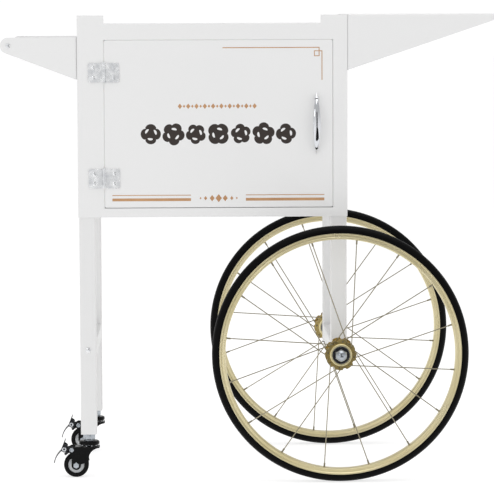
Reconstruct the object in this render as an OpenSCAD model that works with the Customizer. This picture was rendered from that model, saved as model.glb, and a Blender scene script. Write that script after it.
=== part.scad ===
// Two-wheeled popcorn cart: a sheet-steel cabinet on four square legs, with a hinged door,
// a platform for a popcorn machine, a push bar, a side tray, two spoked wheels and two casters.
// Millimetres. +X runs along the cart to the tray, +Y to its back, +Z up; the door faces -Y.
// The origin is on the ground, under the middle of the cart's outline.

/* [Cabinet] */
// Width of the cabinet, side to side
cabinet_w = 535; // [500:1:600]
// Depth of the cabinet, front to back
cabinet_d = 380; // [360:1:440]
// Height of the underside of the cabinet above the ground
cabinet_floor = 522; // [515:1:560]
// Height of the platform that the machine stands on
platform_z = 905; // [880:1:960]
// Rise of the cabinet's corners above the platform
corner_rise = 17; // [8:1:30]
// Width of each raised corner along the front and the back
corner_w = 53; // [30:1:80]
// Thickness of the cabinet's sheet steel
sheet = 1.5; // [1:0.1:2]
// Depth of the folded flanges on the sheets
flange = 12; // [8:1:14]

/* [Door] */
// Width of the front frame on the hinge side of the door
stile_hinge = 52; // [45:1:60]
// Width of the front frame on the handle side of the door
stile_latch = 28; // [24:1:40]
// Height of the front frame above the door
rail_top = 31; // [26:1:40]
// Height of the front frame under the door
rail_bottom = 18; // [17:1:30]
// Gap all round between the door and its opening
door_gap = 1; // [1:0.1:3]
// Depth of the door's folded pan
door_t = 17; // [14:1:20]

/* [Hinges and handle] */
// Height of each hinge
hinge_h = 38; // [30:1:60]
// Width of one hinge leaf, from the pin to its edge
leaf_w = 31; // [25:1:38]
// Thickness of a hinge leaf
leaf_t = 1.5; // [1.2:0.1:2]
// Radius of a hinge knuckle
knuckle_r = 3; // [2.6:0.1:4]
// Height of the upper hinge's middle above the ground
hinge_upper_z = 809; // [780:1:840]
// Height of the lower hinge's middle above the ground
hinge_lower_z = 599; // [570:1:640]
// Length of the bow handle
handle_len = 124; // [100:1:160]
// Width of the bow handle at its middle
handle_w = 15; // [8:0.5:16]
// Reach of the bow handle in front of the door
handle_reach = 26; // [22:1:34]

/* [Legs] */
// Outer size of the square leg tube
leg_size = 32; // [28:1:40]
// Wall of the leg tube
leg_wall = 1.5; // [1.2:0.1:2.5]
// Distance over the outsides of the front and back legs
leg_span = 376; // [350:1:377]
// Height of the underside of the legs that stand on casters
leg_foot_z = 87; // [80:1:100]
// Height of the crossbar's middle between the caster legs
crossbar_z = 257; // [200:1:400]

/* [Spoked wheels] */
// Outer diameter of a spoked wheel over its tyre
wheel_d = 508; // [480:1:520]
// Distance between the middles of the two spoked wheels
wheel_track = 500; // [480:1:520]
// Outer radius of the rim's walls
rim_r = 240; // [228:1:244]
// Inner radius of the rim
rim_inner_r = 227; // [216:1:232]
// Width over the rim's walls
rim_w = 26; // [22:1:32]
// Number of spokes in a wheel
spoke_count = 16; // [16:4:16]
// Turn of the first spoke's rim end, clockwise from +X as seen from the front
spoke_phase = 8.2; // [0:0.1:22.5]
// Radius of a spoke
spoke_r = 1; // [0.8:0.1:1.4]
// Radius of the hub's flanges
hub_flange_r = 30.5; // [28:0.5:36]
// Radius of the ground axle
axle_r = 7.5; // [7:0.5:8]

/* [Casters] */
// Diameter of a caster wheel
caster_d = 50; // [50:1:50]
// Width of a caster wheel's tyre
caster_tread = 18; // [16:1:19]
// Trail of the caster wheel's axle behind the swivel axis
caster_trail = 26; // [22:1:28]

/* [Push bar and tray] */
// Reach of the push-bar arms from the cabinet
arm_len = 152; // [120:1:200]
// Height of the top of the arms above the ground
arm_top_z = 879; // [860:1:890]
// Depth of an arm where it meets the cabinet
arm_root_h = 84; // [70:1:100]
// Radius of an arm's rounded end
arm_tip_r = 16; // [14:1:20]
// Thickness of an arm's plate
arm_t = 3; // [2:0.5:4]
// Radius of the push bar
push_bar_r = 11; // [9:0.5:14]
// Reach of the side tray from the cabinet
tray_len = 297; // [250:1:320]
// Height of the top of the tray above the ground
tray_top_z = 923; // [922:0.5:926]
// Depth of the tray's gussets where they meet the cabinet
tray_root_h = 111; // [90:1:120]
// Thickness of the tray's sheet
tray_t = 2; // [1.5:0.1:3]
// Radius of the tray's rounded edge
tray_tip_r = 6.5; // [5:0.5:10]

/* [Hidden] */
$fn = 64;
tiny = 0.01;

white = [0.93, 0.93, 0.92];
gold = [0.85, 0.78, 0.52];
steel = [0.72, 0.72, 0.72];
chrome = [0.82, 0.83, 0.85];
black = [0.07, 0.07, 0.07];
grey = [0.75, 0.76, 0.77];

// The cabinet's middle sits left of the origin, so that the arms and the tray reach equally far.
cabinet_x = (arm_len - tray_len) / 2;
half_w = cabinet_w / 2;
half_d = cabinet_d / 2;
corner_top = platform_z + corner_rise;
inner_w = half_w - sheet;
inner_d = half_d - sheet;

// The door's opening and the door itself, in the cabinet's own X and in Z.
opening_x0 = -half_w + stile_hinge;
opening_x1 = half_w - stile_latch;
opening_z0 = cabinet_floor + rail_bottom;
opening_z1 = platform_z - rail_top;
door_x0 = opening_x0 + door_gap;
door_x1 = opening_x1 - door_gap;
door_z0 = opening_z0 + door_gap;
door_z1 = opening_z1 - door_gap;
door_back = -half_d + door_t;

// The hinge pin stands just in front of the cabinet's face, over the gap at the door's edge.
hinge_x = opening_x0 + door_gap / 2;
hinge_y = -half_d - knuckle_r;
hinge_heights = [hinge_upper_z, hinge_lower_z];
pin_r = 1.45;
pin_bore_r = 1.5;
knuckles = 5;
knuckle_gap = 0.3;
leaf_screw_x = 20;
leaf_screw_z = 10;

handle_x = 206;
handle_z = (door_z0 + door_z1) / 2;
handle_centres = 96;

leg_x = half_w - 1.5 - leg_size / 2;
leg_y = leg_span / 2 - leg_size / 2;
leg_corner_r = 3;

wheel_r = wheel_d / 2;
axle_x = leg_x;
leg_end_z = wheel_r - 22;
hub_half = 25;
bearing_r = 17.5;
bearing_w = 11;
spoke_hole_r = 26;
flange_y = 18;
flange_t = 3;
rim_hole_y = 3;
spoke_step = 360 / spoke_count;
spoke_lean = 45;
nipple_r = 2.2;
bend_gap = 0.7;

swivel_x = -leg_x;
caster_r = caster_d / 2;
pedal_pivot = [-35, 56];
pedal_rivet = [-50, 57];

arm_y = half_d - 2;
bolt_flange = 22;
arm_axis = [-half_w - arm_len + arm_tip_r, arm_top_z - arm_tip_r];
tray_axis = [half_w + tray_len - tray_tip_r, tray_top_z - tray_tip_r];
tray_y = half_d - 1;

// M6 bolts at [y, z] that hold the arms and the tray to the side panels.
bolt_r = 3;
bolt_hole_r = 3.1;
arm_bolt_places = [
  for (sy = [-1, 1], z = [arm_top_z - 18, arm_top_z - arm_root_h + 22])
    [sy * (arm_y - arm_t - bolt_flange / 2), z]
];
tray_bolt_places = [
  for (sy = [-1, 1], z = [tray_top_z - 50, tray_top_z - tray_root_h + 22])
    [sy * (tray_y - bolt_flange / 2), z]
];

// Box from its lowest corner to its highest.
module slab(lo, hi) {
  translate(lo) cube(hi - lo);
}

// Stands a flat XZ outline up and gives it a thickness t from y0 towards the back.
module upright(y0, t) {
  translate([0, y0 + t, 0]) rotate([90, 0, 0]) linear_extrude(t) children();
}

// Cylinder along Y, from y0 to y1.
module rod_y(x, z, y0, y1, r) {
  translate([x, max(y0, y1), z]) rotate([90, 0, 0]) cylinder(r = r, h = abs(y1 - y0));
}

// Square with round corners, centred.
module rounded_square(w, d, r) {
  square([w - 2 * r, d], center = true);
  square([w, d - 2 * r], center = true);
  for (sx = [-1, 1], sy = [-1, 1])
    translate([sx * (w / 2 - r), sy * (d / 2 - r)]) circle(r);
}

// Section of the square tube that the legs and crossbars are cut from.
module tube_section() {
  difference() {
    rounded_square(leg_size, leg_size, leg_corner_r);
    rounded_square(leg_size - 2 * leg_wall, leg_size - 2 * leg_wall, leg_corner_r - leg_wall);
  }
}

// Bolt with a round head: its seat is at z = 0, the head above it and the shank below.
module pan_bolt(head_r, head_h, shank_r, shank_len) {
  cylinder(r1 = head_r, r2 = head_r * 0.7, h = head_h);
  translate([0, 0, -shank_len]) cylinder(r = shank_r, h = shank_len + tiny);
}

// Hexagon bolt across the flats af, seated at z = 0.
module hex_bolt(af, head_h, shank_r, shank_len) {
  cylinder(r = af / 2 / cos(30), h = head_h, $fn = 6);
  translate([0, 0, -shank_len]) cylinder(r = shank_r, h = shank_len + tiny);
}

// Hexagon nut across the flats af, standing on z = 0, bored for a shank of radius shank_r.
module hex_nut(af, h, shank_r) {
  difference() {
    cylinder(r = af / 2 / cos(30), h = h, $fn = 6);
    translate([0, 0, -1]) cylinder(r = shank_r + 0.05, h = h + 2);
  }
}

// Point where a line from p touches the circle of radius r about c; side is 1 or -1.
function tangent_point(c, r, p, side) =
  let (d = p - c, far = norm(d), turn = atan2(d[1], d[0]) + side * acos(r / far))
  c + r * [cos(turn), sin(turn)];

// ---------------------------------------------------------------- cabinet

// Outline of the front sheet, with a raised corner at each end.
module face_outline() {
  polygon([
    [-half_w, cabinet_floor], [half_w, cabinet_floor],
    [half_w, corner_top], [half_w - corner_w, corner_top],
    [half_w - corner_w, platform_z], [-half_w + corner_w, platform_z],
    [-half_w + corner_w, corner_top], [-half_w, corner_top]
  ]);
}

// Front sheet with the door's opening, whose edges are folded inwards.
module front_frame() {
  color(white) translate([cabinet_x, 0, 0]) {
    upright(-half_d, sheet) difference() {
      face_outline();
      translate([opening_x0, opening_z0])
        square([opening_x1 - opening_x0, opening_z1 - opening_z0]);
    }
    upright(-half_d + sheet - tiny, flange) difference() {
      translate([opening_x0 - sheet, opening_z0 - sheet])
        square([opening_x1 - opening_x0 + 2 * sheet, opening_z1 - opening_z0 + 2 * sheet]);
      translate([opening_x0, opening_z0])
        square([opening_x1 - opening_x0, opening_z1 - opening_z0]);
    }
  }
}

// Side sheet with a flange folded in behind the front sheet and one before the back sheet.
// It is drilled for the bolts at [y, z] in holes.
module side_panel(side, holes) {
  flange_top = platform_z - sheet - flange - 2;
  color(white) translate([cabinet_x, 0, 0]) {
    difference() {
      slab([min(side * half_w, side * inner_w), -inner_d, cabinet_floor],
           [max(side * half_w, side * inner_w), inner_d, corner_top]);
      for (p = holes) translate([side * inner_w, p[0], p[1]]) rotate([0, 90, 0])
        cylinder(r = bolt_hole_r, h = 10, center = true);
    }
    for (sy = [-1, 1])
      slab([min(side * inner_w, side * (inner_w - flange)) - tiny,
            min(sy * inner_d, sy * (inner_d - sheet)), cabinet_floor + sheet],
           [max(side * inner_w, side * (inner_w - flange)) + tiny,
            max(sy * inner_d, sy * (inner_d - sheet)), flange_top]);
  }
}
module side_panel_left() { side_panel(-1, arm_bolt_places); }
module side_panel_right() { side_panel(1, tray_bolt_places); }

back_screw_z = [cabinet_floor + 40, cabinet_floor + 150, cabinet_floor + 260, platform_z - 35];

// Back sheet, level with the platform and drilled for the screws that hold it.
module back_panel() {
  color(white) translate([cabinet_x, 0, 0])
    upright(half_d - sheet, sheet) difference() {
      translate([-half_w, cabinet_floor]) square([cabinet_w, platform_z - cabinet_floor]);
      for (sx = [-1, 1], z = back_screw_z)
        translate([sx * (inner_w - flange / 2), z]) circle(2.1);
    }
}

module back_panel_screws() {
  color(steel) translate([cabinet_x, 0, 0])
    for (sx = [-1, 1], z = back_screw_z)
      translate([sx * (inner_w - flange / 2), half_d, z]) rotate([-90, 0, 0]) pan_bolt(4, 2, 2, sheet);
}

// Floor of the cabinet: a tray with its front and back edges turned up.
module bottom_panel() {
  color(white) translate([cabinet_x, 0, 0]) {
    difference() {
      slab([-inner_w, -inner_d, cabinet_floor], [inner_w, inner_d, cabinet_floor + sheet]);
      for (sx = [-1, 1], sy = [-1, 1])
        translate([sx * leg_x, sy * leg_y, cabinet_floor - 1]) cylinder(r = 4.2, h = sheet + 2);
    }
    for (sy = [-1, 1])
      slab([-inner_w + flange + 2, min(sy * inner_d, sy * (inner_d - sheet)), cabinet_floor + sheet - tiny],
           [inner_w - flange - 2, max(sy * inner_d, sy * (inner_d - sheet)), cabinet_floor + sheet + flange]);
  }
}

// Platform for the machine, level with the front rail, with all four edges turned down.
module top_platform() {
  z1 = platform_z - sheet;
  color(white) translate([cabinet_x, 0, 0]) {
    slab([-inner_w, -inner_d, z1], [inner_w, inner_d, platform_z]);
    for (sy = [-1, 1])
      slab([-inner_w, min(sy * inner_d, sy * (inner_d - sheet)), z1 - flange],
           [inner_w, max(sy * inner_d, sy * (inner_d - sheet)), z1 + tiny]);
    for (sx = [-1, 1])
      slab([min(sx * inner_w, sx * (inner_w - sheet)), -inner_d, z1 - flange],
           [max(sx * inner_w, sx * (inner_w - sheet)), inner_d, z1 + tiny]);
  }
}

// ---------------------------------------------------------------- legs and crossbars

plug_len = 20;
stem_r = 5;

// Leg tube from z0 up to the cabinet, with a welded plate at its top that takes the leg bolt.
module leg(x, y, z0, screw_z, screw_r) {
  color(white) translate([cabinet_x + x, y, 0]) difference() {
    union() {
      translate([0, 0, z0]) linear_extrude(cabinet_floor - z0) tube_section();
      translate([0, 0, cabinet_floor - 6]) linear_extrude(6)
        square(leg_size - 2 * leg_wall + 2 * tiny, center = true);
    }
    translate([0, 0, cabinet_floor - 8]) cylinder(r = 4.05, h = 10);
    rod_y(0, screw_z, -leg_size, leg_size, screw_r);
  }
}
module leg_front_left() { leg(-leg_x, -leg_y, leg_foot_z, crossbar_z, 3.1); }
module leg_back_left() { leg(-leg_x, leg_y, leg_foot_z, crossbar_z, 3.1); }
module leg_front_right() { leg(leg_x, -leg_y, leg_end_z, wheel_r, axle_r + 0.05); }
module leg_back_right() { leg(leg_x, leg_y, leg_end_z, wheel_r, axle_r + 0.05); }

// Plastic plug in the foot of each leg; on the caster side it holds the threaded stem.
module leg_plugs() {
  inside = leg_size - 2 * leg_wall;
  color(black) translate([cabinet_x, 0, 0]) for (sy = [-1, 1]) {
    translate([-leg_x, sy * leg_y, leg_foot_z]) linear_extrude(plug_len) difference() {
      rounded_square(inside, inside, leg_corner_r - leg_wall);
      circle(stem_r);
    }
    translate([leg_x, sy * leg_y, leg_end_z - 2]) linear_extrude(2)
      rounded_square(leg_size, leg_size, leg_corner_r);
    translate([leg_x, sy * leg_y, leg_end_z - tiny]) linear_extrude(8)
      rounded_square(inside, inside, leg_corner_r - leg_wall);
  }
}

// Bolts that hold the legs, put in from inside the cabinet.
module leg_bolts() {
  color(steel) translate([cabinet_x, 0, cabinet_floor + sheet])
    for (sx = [-1, 1], sy = [-1, 1]) translate([sx * leg_x, sy * leg_y, 0]) {
      hex_bolt(13, 5.5, 4, 14);
      difference() {
        cylinder(r = 9, h = 1.5);
        translate([0, 0, -1]) cylinder(r = 4, h = 4);
      }
    }
}

crossbar_len = 2 * (leg_y - leg_size / 2);

// Square tube between a front and a back leg.
module crossbar(x, z) {
  color(white) translate([cabinet_x + x, crossbar_len / 2, z]) rotate([90, 0, 0])
    linear_extrude(crossbar_len) tube_section();
}
module crossbar_left() {
  crossbar(-leg_x, crossbar_z);
  // threaded end plates that the crossbar screws run into
  color(white) for (sy = [-1, 1])
    translate([cabinet_x - leg_x, sy * (crossbar_len / 2 - 3), crossbar_z]) rotate([90, 0, 0])
      linear_extrude(6, center = true) difference() {
        square(leg_size - 2 * leg_wall + 2 * tiny, center = true);
        circle(3);
      }
}
module crossbar_right() { crossbar(axle_x, wheel_r); }

module crossbar_screws() {
  color(steel) for (sy = [-1, 1])
    translate([cabinet_x - leg_x, sy * leg_span / 2, crossbar_z]) rotate([-sy * 90, 0, 0])
      pan_bolt(5, 2.6, 3, leg_size + 5);
}

// ---------------------------------------------------------------- push bar

// Outline of an arm in the cabinet's own X: straight along the top, rising along the bottom.
module arm_outline() {
  root = [-half_w, arm_top_z - arm_root_h];
  touch = tangent_point(arm_axis, arm_tip_r, root, -1);
  polygon([
    root, [-half_w, arm_top_z], [arm_axis[0], arm_top_z], arm_axis, touch
  ]);
  translate(arm_axis) circle(arm_tip_r);
}

// Arm plate with a flange that bolts to the cabinet's side.
module push_bar_arm(sy) {
  outer = sy * arm_y;
  inner = sy * (arm_y - arm_t);
  color(white) translate([cabinet_x, 0, 0]) {
    upright(min(outer, inner), arm_t) difference() {
      arm_outline();
      translate(arm_axis) circle(3.1);
    }
    difference() {
      slab([-half_w - arm_t, min(inner, inner - sy * bolt_flange) - tiny, arm_top_z - arm_root_h],
           [-half_w, max(inner, inner - sy * bolt_flange) + tiny, arm_top_z]);
      for (p = arm_bolt_places) translate([-half_w, p[0], p[1]]) rotate([0, 90, 0])
        cylinder(r = bolt_hole_r, h = 10, center = true);
    }
  }
}
module push_bar_arm_front() { push_bar_arm(-1); }
module push_bar_arm_back() { push_bar_arm(1); }

push_bar_half = arm_y - arm_t;

// Tube between the arms, with a threaded end piece pressed into each end.
module push_bar() {
  color(white) translate([cabinet_x, 0, 0]) difference() {
    rod_y(arm_axis[0], arm_axis[1], -push_bar_half, push_bar_half, push_bar_r);
    rod_y(arm_axis[0], arm_axis[1], -push_bar_half + 15, push_bar_half - 15, push_bar_r - 1.5);
    for (sy = [-1, 1])
      rod_y(arm_axis[0], arm_axis[1], sy * (push_bar_half - 16), sy * (push_bar_half + 1), 3);
  }
}

module push_bar_screws() {
  color(steel) translate([cabinet_x, 0, 0]) for (sy = [-1, 1])
    translate([arm_axis[0], sy * arm_y, arm_axis[1]]) rotate([-sy * 90, 0, 0]) pan_bolt(4.6, 2.4, 3, 14);
}

// Bolts through a flange of thickness t and the side panel, with their nuts inside the cabinet.
module side_bolts(side, places, t) {
  color(steel) translate([cabinet_x, 0, 0]) for (p = places) {
    translate([side * (half_w + t), p[0], p[1]]) rotate([0, side * 90, 0]) pan_bolt(5, 3, bolt_r, t + 8);
    translate([side * inner_w, p[0], p[1]]) rotate([0, -side * 90, 0]) hex_nut(10, 5, bolt_r);
  }
}
module arm_bolts() { side_bolts(-1, arm_bolt_places, arm_t); }

// ---------------------------------------------------------------- side tray

tray_root = [half_w, tray_top_z - tray_root_h];
tray_touch = tangent_point(tray_axis, tray_tip_r, tray_root, 1);

module tray_outline() {
  polygon([tray_root, tray_touch, tray_axis, [tray_axis[0], tray_top_z], [half_w, tray_top_z]]);
  translate(tray_axis) circle(tray_tip_r);
}

// Tray: a flat top whose outer edge rolls under, with a gusset folded down at front and back.
module side_tray() {
  color(white) translate([cabinet_x, 0, 0]) {
    for (y0 = [-tray_y, tray_y - tray_t]) upright(y0, tray_t) tray_outline();
    slab([half_w, -tray_y, tray_top_z - tray_t], [tray_axis[0], tray_y, tray_top_z]);
    upright(-tray_y, 2 * tray_y) intersection() {
      translate(tray_axis) difference() {
        circle(tray_tip_r);
        circle(tray_tip_r - tray_t);
      }
      translate(tray_axis - [0, tray_tip_r]) square([tray_tip_r + 1, 2 * tray_tip_r]);
    }
    for (sy = [-1, 1]) difference() {
      slab([half_w, min(sy * tray_y, sy * (tray_y - bolt_flange)), tray_root[1]],
           [half_w + tray_t, max(sy * tray_y, sy * (tray_y - bolt_flange)), tray_top_z]);
      for (p = tray_bolt_places) translate([half_w, p[0], p[1]]) rotate([0, 90, 0])
        cylinder(r = bolt_hole_r, h = 10, center = true);
    }
  }
}

module tray_bolts() { side_bolts(1, tray_bolt_places, tray_t); }

// ---------------------------------------------------------------- hinges and door

knuckle_len = hinge_h / knuckles;

// One leaf about a pin at the origin: side is -1 for the frame's leaf and 1 for the door's.
// The frame's leaf has the first, third and fifth knuckles, the door's the other two.
module hinge_leaf(side) {
  back = knuckle_r;
  first = side < 0 ? 0 : 1;
  z0 = -hinge_h / 2;
  difference() {
    union() {
      slab([min(side * (knuckle_r + 0.5), side * leaf_w), back - leaf_t, z0],
           [max(side * (knuckle_r + 0.5), side * leaf_w), back, z0 + hinge_h]);
      for (k = [first:2:knuckles - 1]) {
        lo = z0 + k * knuckle_len + (k > 0 ? knuckle_gap / 2 : 0);
        hi = z0 + (k + 1) * knuckle_len - (k < knuckles - 1 ? knuckle_gap / 2 : 0);
        translate([0, 0, lo]) cylinder(r = knuckle_r, h = hi - lo);
        slab([min(0, side * (knuckle_r + 1)), back - leaf_t, lo],
             [max(0, side * (knuckle_r + 1)), back, hi]);
      }
    }
    translate([0, 0, z0 - 1]) cylinder(r = pin_bore_r, h = hinge_h + 2);
    for (sz = [-1, 1])
      rod_y(side * leaf_screw_x, sz * leaf_screw_z, 0, knuckle_r + 1, 1.8);
  }
}

module at_hinges() {
  for (z = hinge_heights) translate([cabinet_x + hinge_x, hinge_y, z]) children();
}
module hinge_frame_leaves() { color(steel) at_hinges() hinge_leaf(-1); }
module hinge_door_leaves() { color(steel) at_hinges() hinge_leaf(1); }

module hinge_pins() {
  color(steel) at_hinges() {
    translate([0, 0, -hinge_h / 2]) cylinder(r = pin_r, h = hinge_h);
    translate([0, 0, hinge_h / 2]) cylinder(r = 2.6, h = 1.2);
  }
}

// Screw with a raised countersunk head, through the leaf and the sheet behind it.
module hinge_screws(side) {
  color(steel) at_hinges() for (sz = [-1, 1])
    translate([side * leaf_screw_x, knuckle_r - leaf_t, sz * leaf_screw_z]) rotate([90, 0, 0])
      pan_bolt(3.4, 1.2, 1.75, leaf_t);
}
module hinge_frame_screws() { hinge_screws(-1); }
module hinge_door_screws() { hinge_screws(1); }

// Door: a folded pan with a lip turned in along its back edge.
module door_panel() {
  lip = 14;
  color(white) translate([cabinet_x, 0, 0]) difference() {
    slab([door_x0, -half_d, door_z0], [door_x1, door_back, door_z1]);
    slab([door_x0 + sheet, -half_d + sheet, door_z0 + sheet],
         [door_x1 - sheet, door_back - sheet, door_z1 - sheet]);
    slab([door_x0 + lip, door_back - 3, door_z0 + lip], [door_x1 - lip, door_back + 3, door_z1 - lip]);
    for (sz = [-1, 1])
      rod_y(handle_x, handle_z + sz * handle_centres / 2, -half_d - 2, -half_d + 4, 2.1);
  }
}

bow_r = (pow(handle_len / 2, 2) + pow(handle_reach, 2)) / (2 * handle_reach);
bow_t = 5;
lens_r = (pow(handle_len / 2, 2) + pow(handle_w / 2, 2)) / handle_w;

// Bow handle: a curved band that narrows to a point at both ends, on two threaded bosses.
module door_handle() {
  bow_y = -half_d - handle_reach + bow_r;
  color(chrome) translate([cabinet_x + handle_x, 0, handle_z]) difference() {
    union() {
      intersection() {
        translate([-handle_w, bow_y, 0]) rotate([0, 90, 0]) difference() {
          cylinder(r = bow_r, h = 2 * handle_w, $fn = 256);
          translate([0, 0, -1]) cylinder(r = bow_r - bow_t, h = 2 * handle_w + 2, $fn = 256);
        }
        intersection_for (side = [-1, 1])
          rod_y(side * (lens_r - handle_w / 2), 0, -half_d - 60, -half_d, lens_r, $fn = 256);
      }
      for (sz = [-1, 1]) rod_y(0, sz * handle_centres / 2, -half_d - 8, -half_d, 3.2);
    }
    for (sz = [-1, 1])
      rod_y(0, sz * handle_centres / 2, -half_d - 7, -half_d + 1, 1.9);
  }
}

module handle_screws() {
  color(steel) translate([cabinet_x + handle_x, -half_d + sheet, handle_z])
    for (sz = [-1, 1]) translate([0, 0, sz * handle_centres / 2]) rotate([-90, 0, 0])
      pan_bolt(4, 2.4, 1.85, sheet + 6);
}

catch_z = handle_z - 7;

// Magnetic catch on the side panel, and the steel plate on the door that it holds.
module magnetic_catch() {
  color(black) translate([cabinet_x, 0, catch_z]) {
    slab([door_x1 - 20, door_back + 1.3, 0], [inner_w, door_back + 16, 14]);
  }
}
module strike_plate() {
  color(steel) translate([cabinet_x, 0, catch_z])
    slab([door_x1 - 19, door_back, -3], [door_x1 - 6, door_back + 1, 17]);
}

// ---------------------------------------------------------------- axle and spoked wheels

nut_seat = wheel_track / 2 + hub_half + 2;

// Steel axle through both right legs and the right crossbar.
module axle() {
  color(steel) rod_y(cabinet_x + axle_x, wheel_r, -nut_seat - 9, nut_seat + 9, axle_r);
}

module axle_spacers() {
  color(steel) translate([cabinet_x + axle_x, 0, wheel_r]) for (sy = [-1, 1]) difference() {
    rod_y(0, 0, sy * leg_span / 2, sy * (wheel_track / 2 - hub_half - 0.3), 11);
    rod_y(0, 0, sy * (leg_span / 2 - 1), sy * wheel_track / 2, axle_r);
  }
}

module axle_washers() {
  color(steel) translate([cabinet_x + axle_x, 0, wheel_r]) for (sy = [-1, 1]) difference() {
    rod_y(0, 0, sy * (nut_seat - 1.7), sy * nut_seat, 14);
    rod_y(0, 0, sy * (nut_seat - 3), sy * (nut_seat + 1), axle_r);
  }
}

// Domed cap nut: a hexagon with a rounded cap, bored blind for the axle's end.
module axle_dome_nuts() {
  hex_h = 5;
  cap_r = 12;
  color(chrome) for (sy = [-1, 1])
    translate([cabinet_x + axle_x, sy * nut_seat, wheel_r]) rotate([-sy * 90, 0, 0]) difference() {
      union() {
        cylinder(r = 22 / 2 / cos(30), h = hex_h, $fn = 6);
        rotate_extrude() intersection() {
          translate([0, hex_h - 2]) circle(cap_r);
          translate([0, hex_h - tiny]) square([cap_r, cap_r]);
        }
      }
      translate([0, 0, -1]) cylinder(r = axle_r, h = 10);
    }
}

module at_wheel(sy) {
  translate([cabinet_x + axle_x, sy * wheel_track / 2, wheel_r]) children();
}

// Turns a section drawn as radius and width into a ring about the axle.
module ring_y() {
  rotate([90, 0, 0]) rotate_extrude() children();
}

tyre_seat_r = 233;
wall_t = 2;

// Solid rubber tyre: a round crown over a foot that fills the rim's channel.
module tyre(sy) {
  foot = rim_w - 2 * wall_t;
  color(black) at_wheel(sy) ring_y() {
    translate([tyre_seat_r, -foot / 2]) square([rim_r - tyre_seat_r + 1, foot]);
    intersection() {
      translate([wheel_r - rim_w / 2, 0]) circle(rim_w / 2);
      translate([rim_r, -rim_w]) square([rim_w, 2 * rim_w]);
    }
  }
}

// Clockwise place on a circle of radius r in the wheel's plane, as seen from the front.
function wheel_point(r, turn, y) = [r * cos(turn), y, -r * sin(turn)];

function rim_turn(k) = spoke_phase + k * spoke_step;
// Spokes lean in pairs, two one way and the next two the other way.
function lean(k) = (k % 4 == 0 || k % 4 == 3) ? 1 : -1;
// Even spokes come from the hub's front flange, odd ones from its back flange.
function flange_side(k) = k % 2 == 0 ? -1 : 1;
function hub_turn(k) = rim_turn(k) + lean(k) * spoke_lean;
// A spoke leaves the outside of its flange if it leans forwards, the inside if it leans back.
// Its bend stands off the flange, so that the slanting spoke clears the flange's edge.
function hub_end(k) =
  wheel_point(spoke_hole_r, hub_turn(k),
              flange_side(k) * (flange_y + lean(k) * (flange_t / 2 + spoke_r + bend_gap)));
function rim_end(k, r) = wheel_point(r, rim_turn(k), flange_side(k) * rim_hole_y);

// Straight round bar between two points.
module bar(a, b, r) {
  d = b - a;
  translate(a) rotate([0, acos(d[2] / norm(d)), atan2(d[1], d[0])]) cylinder(r = r, h = norm(d));
}

// Point on spoke k at a distance back from its rim end.
function along_spoke(k, back) =
  let (a = hub_end(k), b = rim_end(k, rim_inner_r), d = (b - a) / norm(b - a)) b - back * d;

// Channel rim: a drilled base between two walls that hold the tyre.
module rim(sy) {
  color(gold) at_wheel(sy) difference() {
    ring_y() {
      translate([rim_inner_r, -rim_w / 2]) square([3, rim_w]);
      for (side = [-1, 1])
        translate([rim_inner_r, side * (rim_w / 2 - wall_t / 2) - wall_t / 2])
          square([rim_r - rim_inner_r, wall_t]);
    }
    for (k = [0:spoke_count - 1])
      bar(along_spoke(k, 3), along_spoke(k, -4.5), nipple_r + 0.1);
  }
}

// Spokes with their nipples at the rim, and their elbows and heads in the hub's flanges.
module spokes(sy) {
  elbow_r = 1.15 * spoke_r;
  head_h = 1.6;
  color(gold) at_wheel(sy) for (k = [0:spoke_count - 1]) {
    elbow = hub_end(k);
    away = -flange_side(k) * lean(k);
    far_face = flange_side(k) * flange_y + away * flange_t / 2;
    bar(elbow, along_spoke(k, 5), spoke_r);
    rod_y(elbow[0], elbow[2], elbow[1] - away * 1.2 * spoke_r, far_face + away * head_h * 0.7, elbow_r);
    rod_y(elbow[0], elbow[2], far_face, far_face + away * head_h, 2 * spoke_r);
    bar(along_spoke(k, 8), along_spoke(k, -3.6), nipple_r);
  }
}

// Hub: a waisted shell with a drilled flange near each end and a bearing seat in each collar.
module hub(sy) {
  color(gold) at_wheel(sy) difference() {
    union() {
      rod_y(0, 0, -hub_half, hub_half, 13);
      for (side = [-1, 1]) {
        rod_y(0, 0, side * 12, side * hub_half, 21.6);
        rod_y(0, 0, side * (flange_y - flange_t / 2), side * (flange_y + flange_t / 2), hub_flange_r);
      }
    }
    rod_y(0, 0, -hub_half - 1, hub_half + 1, axle_r + 1);
    for (side = [-1, 1])
      rod_y(0, 0, side * (hub_half - bearing_w), side * (hub_half + 1), bearing_r);
    for (k = [0:spoke_count - 1])
      rod_y(hub_end(k)[0], hub_end(k)[2], flange_side(k) * (flange_y - 4), flange_side(k) * (flange_y + 4),
            1.3 * spoke_r);
  }
}

// Ball bearings, one in each end of the hub, running on the axle.
module bearings(sy) {
  color([0.25, 0.23, 0.2]) at_wheel(sy) for (side = [-1, 1]) difference() {
    rod_y(0, 0, side * (hub_half - bearing_w), side * hub_half, bearing_r);
    rod_y(0, 0, side * (hub_half - bearing_w - 1), side * (hub_half + 1), axle_r + 0.05);
  }
}

module tyre_front() { tyre(-1); }
module rim_front() { rim(-1); }
module spokes_front() { spokes(-1); }
module hub_front() { hub(-1); }
module bearings_front() { bearings(-1); }
module tyre_back() { tyre(1); }
module rim_back() { rim(1); }
module spokes_back() { spokes(1); }
module hub_back() { hub(1); }
module bearings_back() { bearings(1); }

// ---------------------------------------------------------------- casters

fork_inner = 13;
fork_t = 2;
// Heights of the fork's round head, of the balls' middles and of the fixed head above them.
fork_head_z = [59, 62];
ball_z = 64.1;
head_z = [66, 73.5];
fork_head_r = 21.3;
head_r = 20.5;
ball_r = 1.8;
ball_ring_r = 16.5;
ball_count = 10;
kingpin_z = 54.7;

module at_caster(sy) {
  translate([cabinet_x + swivel_x, sy * leg_y, 0]) children();
}

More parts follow.
